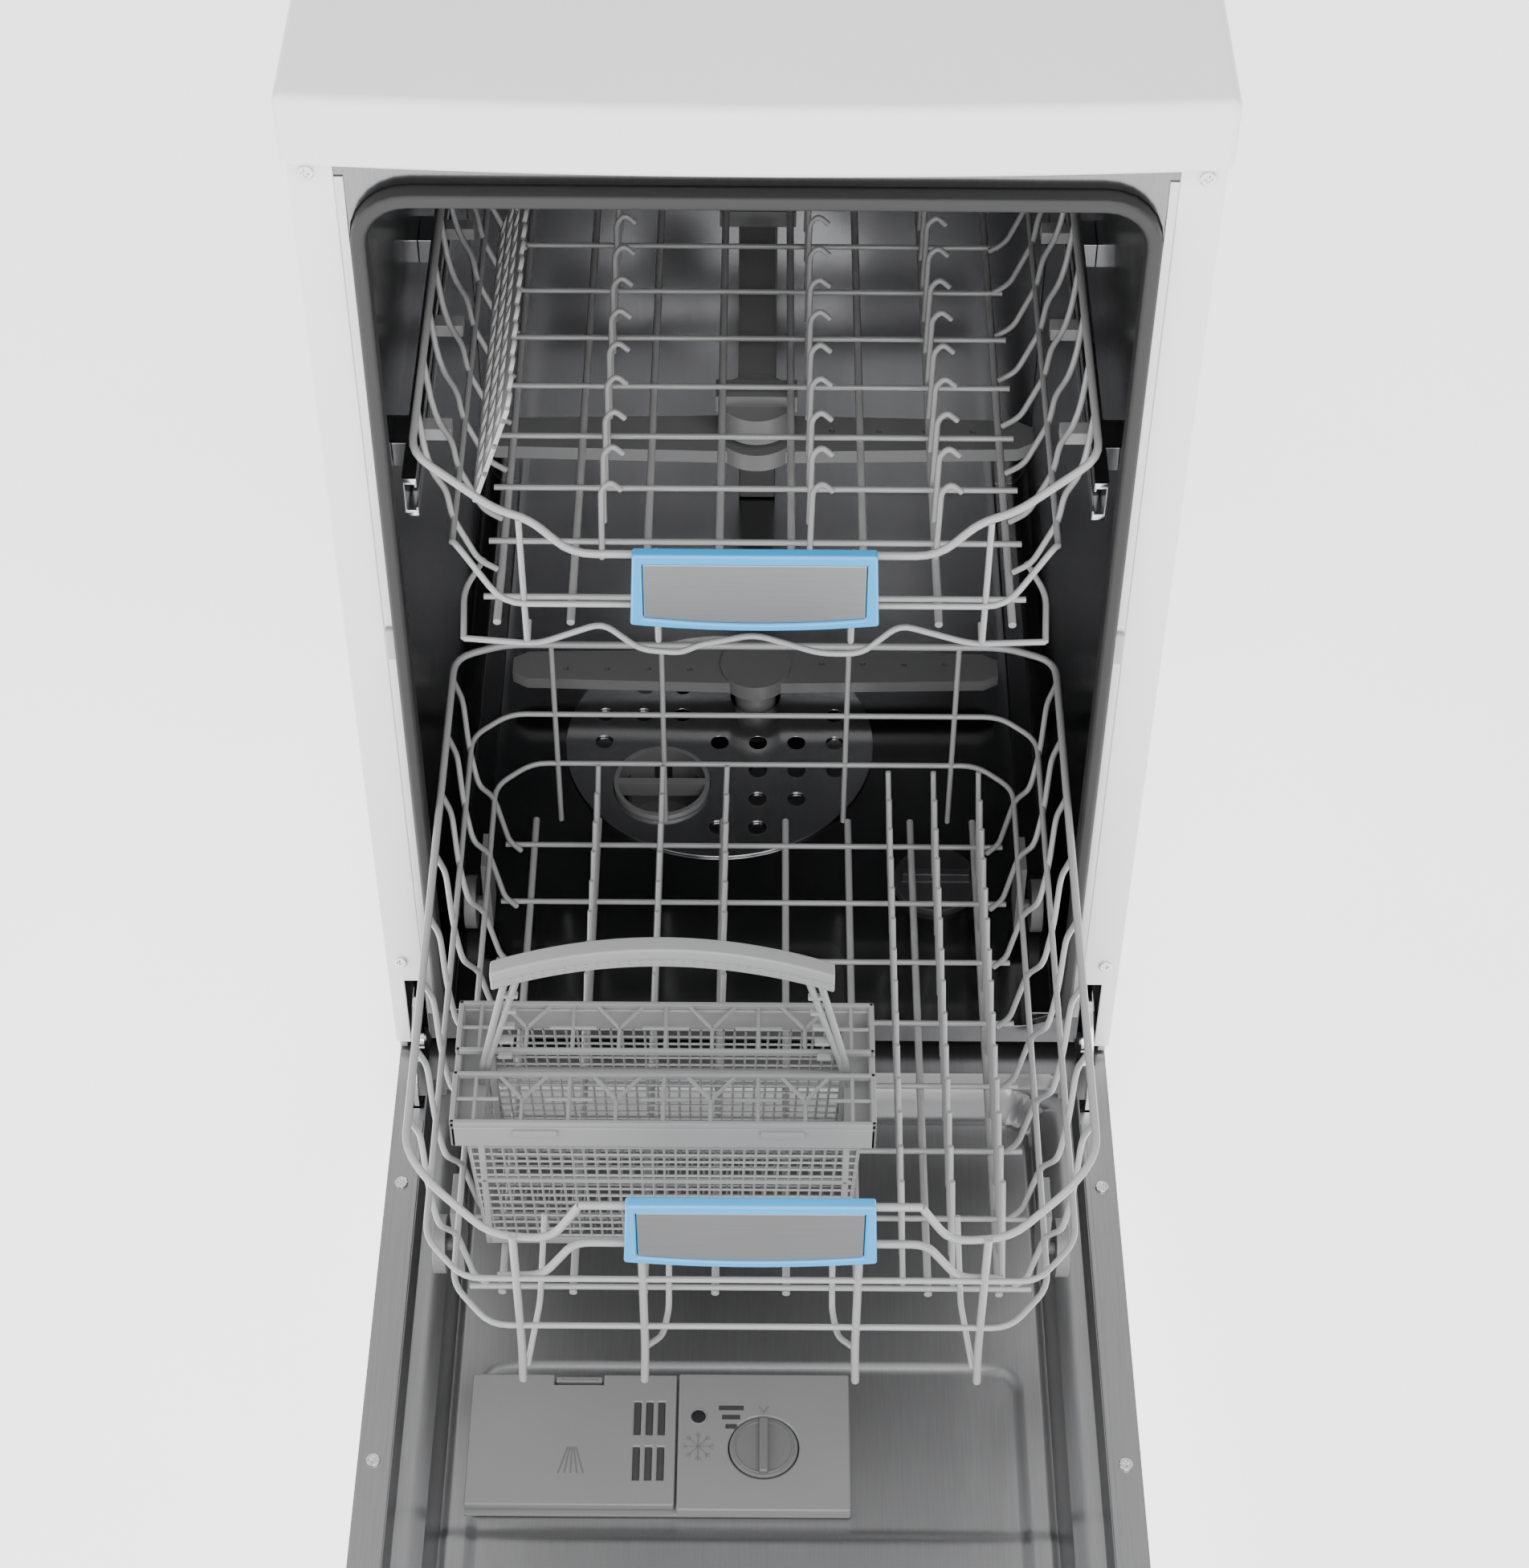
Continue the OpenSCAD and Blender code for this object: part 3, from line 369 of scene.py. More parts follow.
def lattice(name, low, high, across, up, thickness, flat_axis):
    """A square mesh of thin bars between two corners of a flat panel, open between its bars."""
    low, high = Vector(low), Vector(high)
    bpy.ops.mesh.primitive_grid_add(x_subdivisions=across, y_subdivisions=up, size=1)
    piece = bpy.context.object
    piece.name = name
    for v in piece.data.vertices:
        s, t = v.co.x + 0.5, v.co.y + 0.5
        if flat_axis == "Y":
            v.co = (low.x + (high.x - low.x) * s, low.y + (high.y - low.y) * t, low.z + (high.z - low.z) * t)
        elif flat_axis == "X":
            v.co = (low.x + (high.x - low.x) * t, low.y + (high.y - low.y) * s, low.z + (high.z - low.z) * t)
        else:
            v.co = (low.x + (high.x - low.x) * s, low.y + (high.y - low.y) * t, low.z)
    only(piece)
    mod = piece.modifiers.new("bars", "WIREFRAME")
    mod.thickness = thickness
    mod.use_even_offset = False
    bpy.ops.object.modifier_apply(modifier=mod.name)
    return piece


# ---------------------------------------------------------------- cabinet

def make_worktop():
    """Moulded top: bowed front edge, soft corners, and a fine raised line inside each side edge."""
    low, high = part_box("worktop")
    bow = 8 * MM
    front = low.y + bow
    bpy.ops.mesh.primitive_grid_add(x_subdivisions=36, y_subdivisions=2, size=1)
    top = bpy.context.object
    top.name = "worktop_shell"
    for v in top.data.vertices:
        x = low.x + (high.x - low.x) * (v.co.x + 0.5)
        y = front + (high.y - front) * (v.co.y + 0.5)
        if v.co.y < -0.4:
            y -= bow * (1 - (x / high.x) ** 2)
        v.co = (x, y, high.z)
    only(top)
    bpy.ops.object.mode_set(mode="EDIT")
    bpy.ops.mesh.select_all(action="SELECT")
    bpy.ops.mesh.extrude_region_move(TRANSFORM_OT_translate={"value": (0, 0, low.z - high.z)})
    bpy.ops.mesh.select_all(action="SELECT")
    bpy.ops.mesh.normals_make_consistent(inside=False)
    bpy.ops.object.mode_set(mode="OBJECT")
    bevelled(top, 5 * MM, 5, 50)
    lines = []
    for s in (-1, 1):
        x = s * (high.x - 13 * MM)
        path = [(x, high.y - 0.02, high.z - 0.85 * MM), (x, front + 0.012, high.z - 0.85 * MM),
                (x - s * 0.008, front + 0.005, high.z - 0.85 * MM)]
        lines.append((path, 1.6 * MM, 0.006))
    border = wires("worktop_border", lines)
    dress(joined("worktop_shell", [top, border]), "worktop_white", "cabinet", "worktop_white", "worktop")


def make_panels():
    """Side panels, kick plate, tub and the door's seal."""
    for side in ("left", "right"):
        node = "side_panel_" + side
        dress(eased(node, 0.9 * MM, 2), "white_enamel", "cabinet", "white_enamel", node)
    dress(eased("kick_plate", 1.2 * MM), "white_enamel", "cabinet", "white_enamel", "kick_plate")
    # The tub gets the darkened steel, painted shade for the inside of the tub.
    dress(eased("tub", 0.5 * MM), "tub_steel", "cabinet", "tub_steel", "tub")
    dress(eased("door_seal", 2.2 * MM, 3), "black_rubber", "cabinet", "black_rubber", "door_seal")


def make_flange_clips():
    """Small pale buffers on the inner edge of the flanges, and the tub's bright frame strips."""
    for s, side in ((-1, "left"), (1, "right")):
        x_in = s * abs(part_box("side_panel_" + side)[0 if s > 0 else 1].x)
        clip = block("buffer_" + side, (min(x_in, x_in - s * 0.007), FRONT_Y - 0.0022, 0.470),
                     (max(x_in, x_in - s * 0.007), FRONT_Y + 0.001, 0.492), 0.0009, 3)
        dress(clip, "shelf_plastic", "cabinet", "pale_plastic")
        strip = block("frame_strip_" + side, (min(x_in, x_in - s * 0.0045), FRONT_Y + 0.0004, 0.16),
                      (max(x_in, x_in - s * 0.0045), FRONT_Y + 0.0014, 0.79), 0.0003)
        dress(strip, "frame_steel", "cabinet", "liner_steel")


def make_screws():
    """Cross-head screws with domed heads."""
    for node, body in (("frame_screws", "cabinet"), ("door_screws", "door")):
        dress(eased(node, 0.35 * MM, 2, 30), "bright_steel", body, "bright_steel", node)


def make_inner_works():
    """Moulded and pressed parts inside the cabinet, with eased edges."""
    for node, width, finish, slot in (
            ("base_tray", 1.0, "dark_plastic", "dark_plastic"),
            ("back_panel", 0.5, "zinc_sheet", "liner_steel"),
            ("sump", 0.8, "dark_plastic", "dark_plastic"),
            ("softener", 2.0, "shelf_plastic", "pale_plastic"),
            ("circulation_pump", 1.5, "dark_plastic", "dark_plastic"),
            ("drain_pump", 1.5, "dark_plastic", "dark_plastic"),
            ("inlet_valve", 0.8, "shelf_plastic", "pale_plastic"),
            ("counterweight", 3.0, "concrete_grey", "concrete_grey"),
            ("hinge_brackets", 0.5, "zinc_sheet", "bright_steel"),
            ("upper_rails", 0.4, "bright_steel", "bright_steel"),
            ("feed_pipe", 2.0, "grey_plastic", "grey_plastic"),
            ("filter_plate", 0.3, "bright_steel", "bright_steel")):
        dress(eased(node, width * MM), finish, "cabinet", slot, node)
    for node in ("foot_front_left", "foot_front_right", "foot_rear_left", "foot_rear_right"):
        dress(eased(node, 1.2 * MM), "dark_plastic", node, "dark_plastic", node)
    dress(eased("filter_cylinder", 0.8 * MM), "grey_plastic", "filter_cylinder", "grey_plastic",
          "filter_cylinder")
    dress(eased("salt_cap", 1.2 * MM), "dark_plastic", "salt_cap", "dark_plastic", "salt_cap")
    for arm in ("lower_spray_arm", "upper_spray_arm"):
        dress(eased(arm, 1.4 * MM, 3), "grey_plastic", arm, "grey_plastic", arm)
    dress(eased("upper_arm_mount", 1.5 * MM), "grey_plastic", "upper_rack", "grey_plastic", "upper_arm_mount")


# ---------------------------------------------------------------- door

def stations(*stretches):
    """Places along a line: each stretch is (start, end, steps)."""
    out = []
    for start, end, steps in stretches:
        out += [start + (end - start) * i / steps for i in range(steps)]
    return out + [stretches[-1][1]]


def inside_by(x, y, half, y0, y1, radius):
    """How far a point lies inside a rectangle with round corners."""
    dx = abs(x) - (half - radius)
    dy = abs(y - (y0 + y1) / 2) - (abs(y1 - y0) / 2 - radius)
    out = math.hypot(max(dx, 0), max(dy, 0)) + min(max(dx, dy), 0)
    return radius - out


def eased_step(t):
    t = min(max(t, 0), 1)
    return t * t * (3 - 2 * t)


def make_liner():
    """Pressed steel liner: flange, wheel ledge, dished field, a shallow panel in it and a rising far end."""
    low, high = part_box("door_inner")
    cut_low, cut_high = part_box("dispenser_body")
    near, far = PIVOT.y - 0.021, PIVOT.y - 0.656
    field_far = far + 0.043
    panel_near, rise_y = PIVOT.y - 0.212, PIVOT.y - 0.322
    half = high.x
    ledge_half, field_half, panel_half, panel_limit = 0.2025, 0.1835, 0.160, 0.1745
    ledge_drop, field_drop, panel_rise, far_rise = 0.012, 0.025, 0.0018, 0.003
    # the hinge slots: inner side, outer side at the arm and at the ear, and their places along the door
    slot_in, arm_out, ear_out = 0.2035, 0.2115, 0.2155
    ear_back, ear_front = PIVOT.y + 0.014, PIVOT.y - 0.014
    arm_back, arm_front = PIVOT.y - 0.041, PIVOT.y - 0.051
    right = stations((0, 0.150, 12), (0.150, 0.182, 16), (0.182, 0.197, 3), (0.197, slot_in, 6),
                     (slot_in, arm_out, 1), (arm_out, ear_out, 1), (ear_out, half, 1))
    xs = [-x for x in reversed(right[1:])] + right
    ys = stations((high.y, ear_back, 1), (ear_back, ear_front, 1),
                  (ear_front, near + 0.001, 2), (near + 0.001, near - 0.004, 5),
                  (near - 0.004, near - 0.020, 8), (near - 0.020, arm_back, 1),
                  (arm_back, arm_front, 1), (arm_front, panel_near + 0.004, 12),
                  (panel_near + 0.004, panel_near - 0.022, 12), (panel_near - 0.022, rise_y + 0.008, 8),
                  (rise_y + 0.008, rise_y - 0.020, 14), (rise_y - 0.020, field_far + 0.024, 14),
                  (field_far + 0.024, field_far - 0.002, 12), (field_far - 0.002, far + 0.022, 3),
                  (far + 0.022, far - 0.001, 12), (far - 0.001, low.y, 2))
    bpy.ops.mesh.primitive_grid_add(x_subdivisions=len(xs) - 1, y_subdivisions=len(ys) - 1, size=1)
    liner = bpy.context.object
    liner.name = "door_liner"
    for v in liner.data.vertices:
        x = xs[round((v.co.x + 0.5) * (len(xs) - 1))]
        y = ys[len(ys) - 1 - round((v.co.y + 0.5) * (len(ys) - 1))]
        drop = ledge_drop * eased_step(inside_by(x, y, ledge_half, near, far, 0.020) / 0.003)
        drop += field_drop * eased_step(inside_by(x, y, field_half, near - 0.003, field_far, 0.026) / 0.0075)
        around = eased_step(1 - inside_by(x, y, panel_half, panel_near, field_far + 0.02, 0.020) / 0.004)
        within = eased_step(inside_by(x, y, panel_limit, near - 0.012, field_far, 0.02) / 0.002)
        drop -= panel_rise * around * within
        drop -= far_rise * eased_step((rise_y - y) / 0.010) * eased_step(drop / 0.034)
        v.co = (x, y, high.z - drop)
    only(liner)
    bpy.ops.object.mode_set(mode="EDIT")
    bpy.ops.mesh.select_mode(type="FACE")
    bpy.ops.mesh.select_all(action="DESELECT")
    bpy.ops.object.mode_set(mode="OBJECT")
    for f in liner.data.polygons:
        x, y = abs(f.center.x), f.center.y
        at_ear = slot_in < x < ear_out and ear_front < y < ear_back
        at_arm = slot_in < x < arm_out and arm_front < y < arm_back
        at_dispenser = (cut_low.x + 0.006 < f.center.x < cut_high.x - 0.006
                        and cut_low.y + 0.006 < y < cut_high.y - 0.006)
        f.select = at_ear or at_arm or at_dispenser
    bpy.ops.object.mode_set(mode="EDIT")
    bpy.ops.mesh.delete(type="FACE")
    bpy.ops.object.mode_set(mode="OBJECT")
    sheet = liner.modifiers.new("sheet", "SOLIDIFY")
    sheet.thickness = 0.0009
    sheet.offset = -1
    bpy.ops.object.modifier_apply(modifier="sheet")
    bpy.ops.object.shade_smooth_by_angle(angle=math.radians(40))
    dress(liner, "liner_steel", "door", "liner_steel", "door_inner")


def make_door():
    make_liner()
    dress(eased("door_outer", 1.2 * MM), "white_enamel", "door", "white_enamel", "door_outer")
    dress(eased("control_panel", 1.2 * MM), "white_enamel", "door", "white_enamel", "control_panel")
    dress(eased("display_window", 0.4 * MM), "window_black", "door", "window_black", "display_window")
    dress(eased("door_latch", 1.0 * MM), "dark_plastic", "door", "dark_plastic", "door_latch")
    dress(eased("hinge_arms", 0.5 * MM), "bright_steel", "door", "bright_steel", "hinge_arms")
    for name in ("power_button", "program_button", "delay_button", "start_button"):
        dress(eased(name, 0.7 * MM, 3), "shelf_plastic", name, "grey_plastic", name)
    make_seam_ribs()


def make_seam_ribs():
    """Folded edge of the liner along each side of the door, seen as a second strip inside the flange."""
    flange_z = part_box("door_inner")[1].z
    for s, side in ((-1, "left"), (1, "right")):
        x0, x1 = sorted((s * 0.2028, s * 0.2062))
        rib = block("flange_rib_" + side, (x0, PIVOT.y - 0.640, flange_z - 0.0006),
                    (x1, PIVOT.y - 0.060, flange_z + 0.0007), 0.0006)
        dress(rib, "liner_steel", "door", "liner_steel")


# ---------------------------------------------------------------- dispenser

def make_dispenser():
    dress(eased("dispenser_body", 1.6 * MM, 3), "grey_plastic", "door", "grey_plastic", "dispenser_body")
    dress(eased("dispenser_lid", 1.0 * MM, 3), "grey_plastic", "dispenser_lid", "grey_plastic",
          "dispenser_lid")
    latch_low, latch_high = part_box("dispenser_latch")
    ribs = [eased("dispenser_latch", 0.4 * MM)]
    for i in range(3):
        y = latch_low.y + (latch_high.y - latch_low.y) * (i + 1) / 4
        ribs.append(block("latch_rib", (latch_low.x + 0.003, y - 0.0003, latch_high.z - 0.0002),
                          (latch_high.x - 0.003, y + 0.0003, latch_high.z + 0.0005), 0.0001))
    dress(joined("latch_grip", ribs), "grey_plastic", "dispenser_latch", "grey_plastic", "dispenser_latch")
    make_rinse_cap()
    make_dispenser_marks(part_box("dispenser_body")[1].z)


def make_rinse_cap():
    """Round cap with a raised bar grip and a shallow ring."""
    low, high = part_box("rinse_cap")
    x, y = (low.x + high.x) / 2, (low.y + high.y) / 2
    radius = (high.x - low.x) / 2
    face = high.z - 0.004
    disc = turned("cap_disc", (x, y, (low.z + face) / 2), radius, face - low.z, "Z", 64, 0.0012)
    bpy.ops.mesh.primitive_torus_add(major_radius=radius * 0.84, minor_radius=0.0006, location=(x, y, face),
                                     major_segments=64, minor_segments=8)
    ring = bpy.context.object
    bpy.ops.object.transform_apply(location=True)
    grip = block("cap_grip", (x - 0.0026, y - radius * 0.9, face - 0.001),
                 (x + 0.0026, y + radius * 0.9, high.z), 0.0012, 3)
    dress(joined("cap_shell", [disc, ring, grip]), "cap_plastic", "rinse_cap", "grey_plastic", "rinse_cap")


def make_dispenser_marks(top):
    """Generic signs: spray lines, a snowflake, level slots, a round window and a pointer; the near-black floors
    in the lid's slots are painted shade.
    """
    lid_low, lid_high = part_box("dispenser_lid")
    cap_low, cap_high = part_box("rinse_cap")
    x0, y0 = lid_low.x + 0.060, (lid_low.y + lid_high.y) / 2 - 0.014
    z = lid_high.z + 0.0001
    rays = [([(x0 + k * 0.0012, y0 + 0.008, z), (x0 + k * 0.0036, y0 - 0.009, z)], 0.0007, 0)
            for k in (-2, -1, 0, 1, 2)]
    dress(wires("spray_sign", rays, 1), "cap_plastic", "dispenser_lid", "grey_plastic")
    # Near-black floors sunk below the lid's top in its slots: painted shade in the slots.
    slots = []
    for i in range(3):
        for j in range(2):
            x = lid_high.x - 0.0245 + i * 0.007
            y = PIVOT.y - 0.2695 + 0.026 - j * 0.030
            slots.append(block("slot_shade_floor", (x + 0.0002, y - 0.0218, lid_high.z - 0.0016),
                               (x + 0.0038, y - 0.0002, lid_high.z - 0.0008), 0.0002))
    dress(joined("lid_slot_shade", slots), "ink_and_slot_shade", "dispenser_lid", "dark_plastic")
    x, y = cap_low.x - 0.018, (cap_low.y + cap_high.y) / 2
    flake = []
    for k in range(4):
        a = math.pi * k / 4
        dx, dy = 0.0095 * math.cos(a), 0.0095 * math.sin(a)
        flake.append(([(x - dx, y - dy, top), (x + dx, y + dy, top)], 0.0006, 0))
    for k in range(8):
        a = math.pi * k / 4
        tip = Vector((x + 0.0062 * math.cos(a), y + 0.0062 * math.sin(a), top))
        for turn in (-0.6, 0.6):
            end = tip + Vector((0.003 * math.cos(a + turn), 0.003 * math.sin(a + turn), 0))
            flake.append(([tuple(tip), tuple(end)], 0.0005, 0))
    tip_y = cap_high.y + 0.0035
    flake.append(([(cap_low.x + 0.017, tip_y + 0.004, top), (cap_low.x + 0.02, tip_y, top),
                   (cap_low.x + 0.023, tip_y + 0.004, top)], 0.0006, 0))
    dress(wires("flake_sign", flake, 1), "cap_plastic", "door", "grey_plastic")
    slots = []
    for i, half in enumerate((0.0075, 0.0055, 0.0035)):
        yy = cap_high.y + 0.006 - i * 0.0062
        slots.append(block("level_slot", (x + 0.019 - half, yy - 0.0018, top - 0.0008),
                           (x + 0.019 + half, yy + 0.0018, top + 0.0001), 0.0009, 3))
    dress(joined("level_slots", slots), "ink_and_slot_shade", "door", "dark_plastic")
    eye = turned("level_window", (x, cap_high.y, top), 0.0042, 0.0012, "Z", 32, 0.0004)
    dress(eye, "window_black", "door", "window_black")
    bpy.ops.mesh.primitive_torus_add(major_radius=0.0048, minor_radius=0.0005, location=(x, cap_high.y, top),
                                     major_segments=40, minor_segments=8)
    ring = bpy.context.object
    ring.name = "level_window_rim"
    bpy.ops.object.transform_apply(location=True)
    dress(ring, "grey_plastic", "door", "grey_plastic")


# ---------------------------------------------------------------- handles

def make_handle(node_frame, node_plate, body):
    """Glossy frame with a brushed plate let into it."""
    dress(eased(node_frame, 1.6 * MM, 4), "blue_plastic", body, "blue_plastic", node_frame)
    dress(eased(node_plate, 0.7 * MM, 3), "plate_steel", body, "plate_steel", node_plate)


# ---------------------------------------------------------------- lower rack

def make_lower_rack():
    low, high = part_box("lower_rack_walls")
    floor_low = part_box("lower_rack_floor")[0]
    thick, thin = RIM_WIRE, FINE_WIRE
    half = high.x - thick / 2
    rim = high.z - 0.006 - thick / 2
    front = low.y + thick / 2
    back = high.y - thick / 2
    base = floor_low.z + thick / 2
    runs = []
    right = [(0.088, front, rim + 0.006), (0.104, front, rim - 0.024), (0.136, front + 0.004, rim - 0.026),
             (half - 0.014, front + 0.022, rim - 0.006), (half, front + 0.04, rim), (half, back - 0.012, rim),
             (half - 0.03, back, rim), (0, back, rim)]
    for line in (right, mirrored(right)):
        runs.append((line, thick, 0.012))
    runs.append(([(-0.0885, front, rim + 0.006), (0.0885, front, rim + 0.006)], thick, 0))
    mid_z, low_z = rim - 0.060, rim - 0.104
    for width, z in ((0.174, mid_z), (0.162, low_z)):
        hoop = [(0, front, z), (width - 0.022, front, z), (width, front + 0.026, z), (width, back - 0.02, z),
                (width - 0.022, back, z), (0, back, z)]
        runs += [(hoop, thin, 0.010), (mirrored(hoop), thin, 0.010)]
    # second front wire under the rim, dipping with it and ending on a post
    dip = [(0.058, front + 0.003, rim - 0.031), (0.092, front + 0.003, rim - 0.031),
           (0.110, front + 0.003, rim - 0.061), (0.134, front + 0.003, rim - 0.062)]
    runs += [(dip, thick, BEND), (mirrored(dip), thick, BEND)]
    # zigzag stakes down the sides
    count = 8
    for i in range(count):
        y = front + 0.06 + (back - front - 0.09) * i / (count - 1)
        stake = [(half, y, rim), (0.178, y + 0.012, rim - 0.030), (0.1755, y + 0.002, mid_z),
                 (0.170, y - 0.012, mid_z - 0.02), (0.1625, y, low_z), (0.155, y, base + 0.012),
                 (0.148, y, base + 0.003)]
        runs += [(stake, thin, BEND), (mirrored(stake), thin, BEND)]
    # front posts run down to rounded tips
    for x in (0.057, 0.124):
        post = [(x, front + 0.0005, rim - 0.022), (x, front, base + 0.03), (x + 0.001, front - 0.0005, base)]
        rear = [(x, back, base), (x, back, rim)]
        runs += [(post, thick, 0.02), (mirrored(post), thick, 0.02),
                 (rear, thin, 0), (mirrored(rear), thin, 0)]
    # hooks and braces behind the front posts
    hook = [(0.057, front + 0.001, base + 0.030), (0.048, front + 0.014, base + 0.022),
            (0.045, front + 0.03, base + 0.024), (0.045, front + 0.05, base + 0.05),
            (0.045, front + 0.052, base + 0.090)]
    brace = [(0.122, front + 0.001, base + 0.012), (0.115, front + 0.024, base + 0.040),
             (0.112, front + 0.050, base + 0.085)]
    for line in (hook, brace):
        runs += [(line, thin, 0.005), (mirrored(line), thin, 0.005)]
    dress(wires("lower_rack_wall_wires", runs), "coated_wire", "lower_rack", "coated_wire",
          "lower_rack_walls")
    runs = []
    for i in range(8):
        x = -0.14 + FLOOR_PITCH * i
        runs.append(([(x, floor_low.y + 0.002, base), (x, back, base)], thick, 0))
    for i in range(8):
        y = floor_low.y + 0.004 + 0.048 * i
        runs.append(([(-0.158, y, base + thin * 0.9), (0.158, y, base + thin * 0.9)], thin, 0))
    dress(wires("lower_rack_floor_wires", runs), "coated_wire", "lower_rack", "coated_wire",
          "lower_rack_floor")
    # leaning tines: three rows of the full depth on the right, three behind the basket on the left
    behind_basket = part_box("cutlery_basket")[1].y + 0.015
    rows = [(x, front + 0.06, 14, -1) for x in (0.086, 0.114, 0.142)]
    rows += [(x, behind_basket, 10, 1) for x in (-0.100, -0.060, -0.020)]
    runs = []
    for x, first, count, lean in rows:
        for i in range(count):
            y = first + 0.024 * i
            if y < back - 0.03:
                tine = [(x, y, base), (x + lean * 0.001, y + 0.004, base + 0.02),
                        (x + lean * 0.003, y + 0.022, base + 0.073)]
                runs.append((tine, thin, BEND))
    dress(wires("lower_rack_tine_wires", runs), "coated_wire", "lower_rack", "coated_wire",
          "lower_rack_tines")
    make_handle("lower_handle_frame", "lower_handle_plate", "lower_rack")
    dress(eased("wheel_brackets", 1.0 * MM), "grey_plastic", "lower_rack", "grey_plastic", "wheel_brackets")
    for node in ("lower_wheels_front", "lower_wheels_rear"):
        dress(eased(node, 1.2 * MM, 3), "grey_plastic", node, "grey_plastic", node)


# ---------------------------------------------------------------- cutlery basket

def make_basket():
    """Tapered mesh basket with posts, bands, a stepped rim and two clips."""
    low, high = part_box("cutlery_basket")
    taper = 0.014
    mouth = high.z - 0.016
    mid_x = (low.x + high.x) / 2
    widening = 0.06
    bar = 0.0019
    parts = []
    x0, x1, y0, y1 = low.x + taper, high.x - taper, low.y + 0.003, high.y - 0.003
    for y in (y0 + 0.001, y1 - 0.001):
        parts.append(lattice("wall", (x0, y, low.z + 0.001), (x1, y, mouth), 34, 15, bar, "Y"))
    for x in (x0 + 0.001, x1 - 0.001):
        parts.append(lattice("wall", (x, y0, low.z + 0.001), (x, y1, mouth), 13, 15, bar, "X"))
    parts.append(lattice("floor", (x0, y0, low.z + 0.0015), (x1, y1, low.z + 0.0015), 30, 12, bar, "Z"))
    for wall in parts[:4]:
        for v in wall.data.vertices:
            rise = (v.co.z - low.z) / (mouth - low.z)
            spread = 1 + widening * max(rise, 0)
            v.co.x = mid_x + (v.co.x - mid_x) * min(spread, 1 + widening)
    # corner posts, foot band and rim
    for x in (x0, x1):
        for y in (y0, y1):
            sx, sy = (1 if x == x1 else -1), (1 if y == y1 else -1)
            xa, xb = sorted((x, x - sx * 0.004))
            ya, yb = sorted((y, y - sy * 0.004))
            parts.append(block("post", (xa, ya, low.z), (xb, yb, mouth), 0.001))
    for y in (y0, y1):
        ya, yb = sorted((y, y + (0.003 if y == y0 else -0.003)))
        parts.append(block("foot_band", (x0, ya, low.z), (x1, yb, low.z + 0.006), 0.0008))
        parts.append(block("mid_band", (x0 - 0.002, ya, low.z + 0.058),
                           (x1 + 0.002, yb, low.z + 0.061), 0.0008))
    for y, s in ((low.y, 1), (high.y, -1)):
        ya, yb = sorted((y, y + s * 0.0035))
        parts.append(block("rim", (low.x, ya, mouth - 0.001), (high.x, yb, high.z), 0.0012, 3))
    for x, s in ((low.x, 1), (high.x, -1)):
        xa, xb = sorted((x, x + s * 0.0035))
        parts.append(block("rim_end", (xa, low.y, mouth - 0.001), (xb, high.y, high.z), 0.0012, 3))
    steps = [block("step", (xa, low.y + 0.001, mouth - 0.002), (xb, high.y - 0.001, mouth + 0.001), 0.0006)
             for xa, xb in ((low.x + 0.001, x0 + 0.003), (x1 - 0.003, high.x - 0.001))]
    # two snap clips on the front rim
    for k in (0.2, 0.78):
        x = low.x + (high.x - low.x) * k
        parts.append(block("clip", (x - 0.012, low.y - 0.002, high.z - 0.006),
                           (x + 0.012, low.y + 0.001, high.z - 0.001), 0.0007))
    dress(joined("basket_shell", parts + steps), "pale_plastic", "lower_rack", "pale_plastic",
          "cutlery_basket")
    for node in ("basket_lid_front", "basket_lid_rear"):
        make_basket_lid(node)
    make_basket_handle()


def make_basket_lid(node):
    """Half lid with an outer frame, a row of slots and Y-shaped bars between them."""
    low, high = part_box(node)
    parts = [block("edge", low, (high.x, low.y + 0.003, high.z), 0.0008),
             block("edge", (low.x, high.y - 0.003, low.z), high, 0.0008),
             block("edge", low, (low.x + 0.003, high.y, high.z), 0.0008),
             block("edge", (high.x - 0.003, low.y, low.z), high, 0.0008)]
    mid = (low.y + high.y) / 2
    z = (low.z + high.z) / 2
    runs = []
    count = 9
    for i in range(count):
        x = low.x + (high.x - low.x) * (i + 0.5) / count
        gap = (high.x - low.x) / count / 2
        if i % 2:
            runs.append(([(x, low.y + 0.002, z), (x, mid, z)], 0.0024, 0))
            runs.append(([(x, mid, z), (x - gap, high.y - 0.002, z)], 0.0024, 0))
            runs.append(([(x, mid, z), (x + gap, high.y - 0.002, z)], 0.0024, 0))
        else:
            runs.append(([(x, low.y + 0.002, z), (x, high.y - 0.002, z)], 0.0024, 0))
            runs.append(([(x - gap, mid, z), (x + gap, mid, z)], 0.0022, 0))
    parts.append(wires("lid_bars", runs, 1))
    dress(joined(node + "_shell", parts), "pale_plastic", node, "pale_plastic", node)


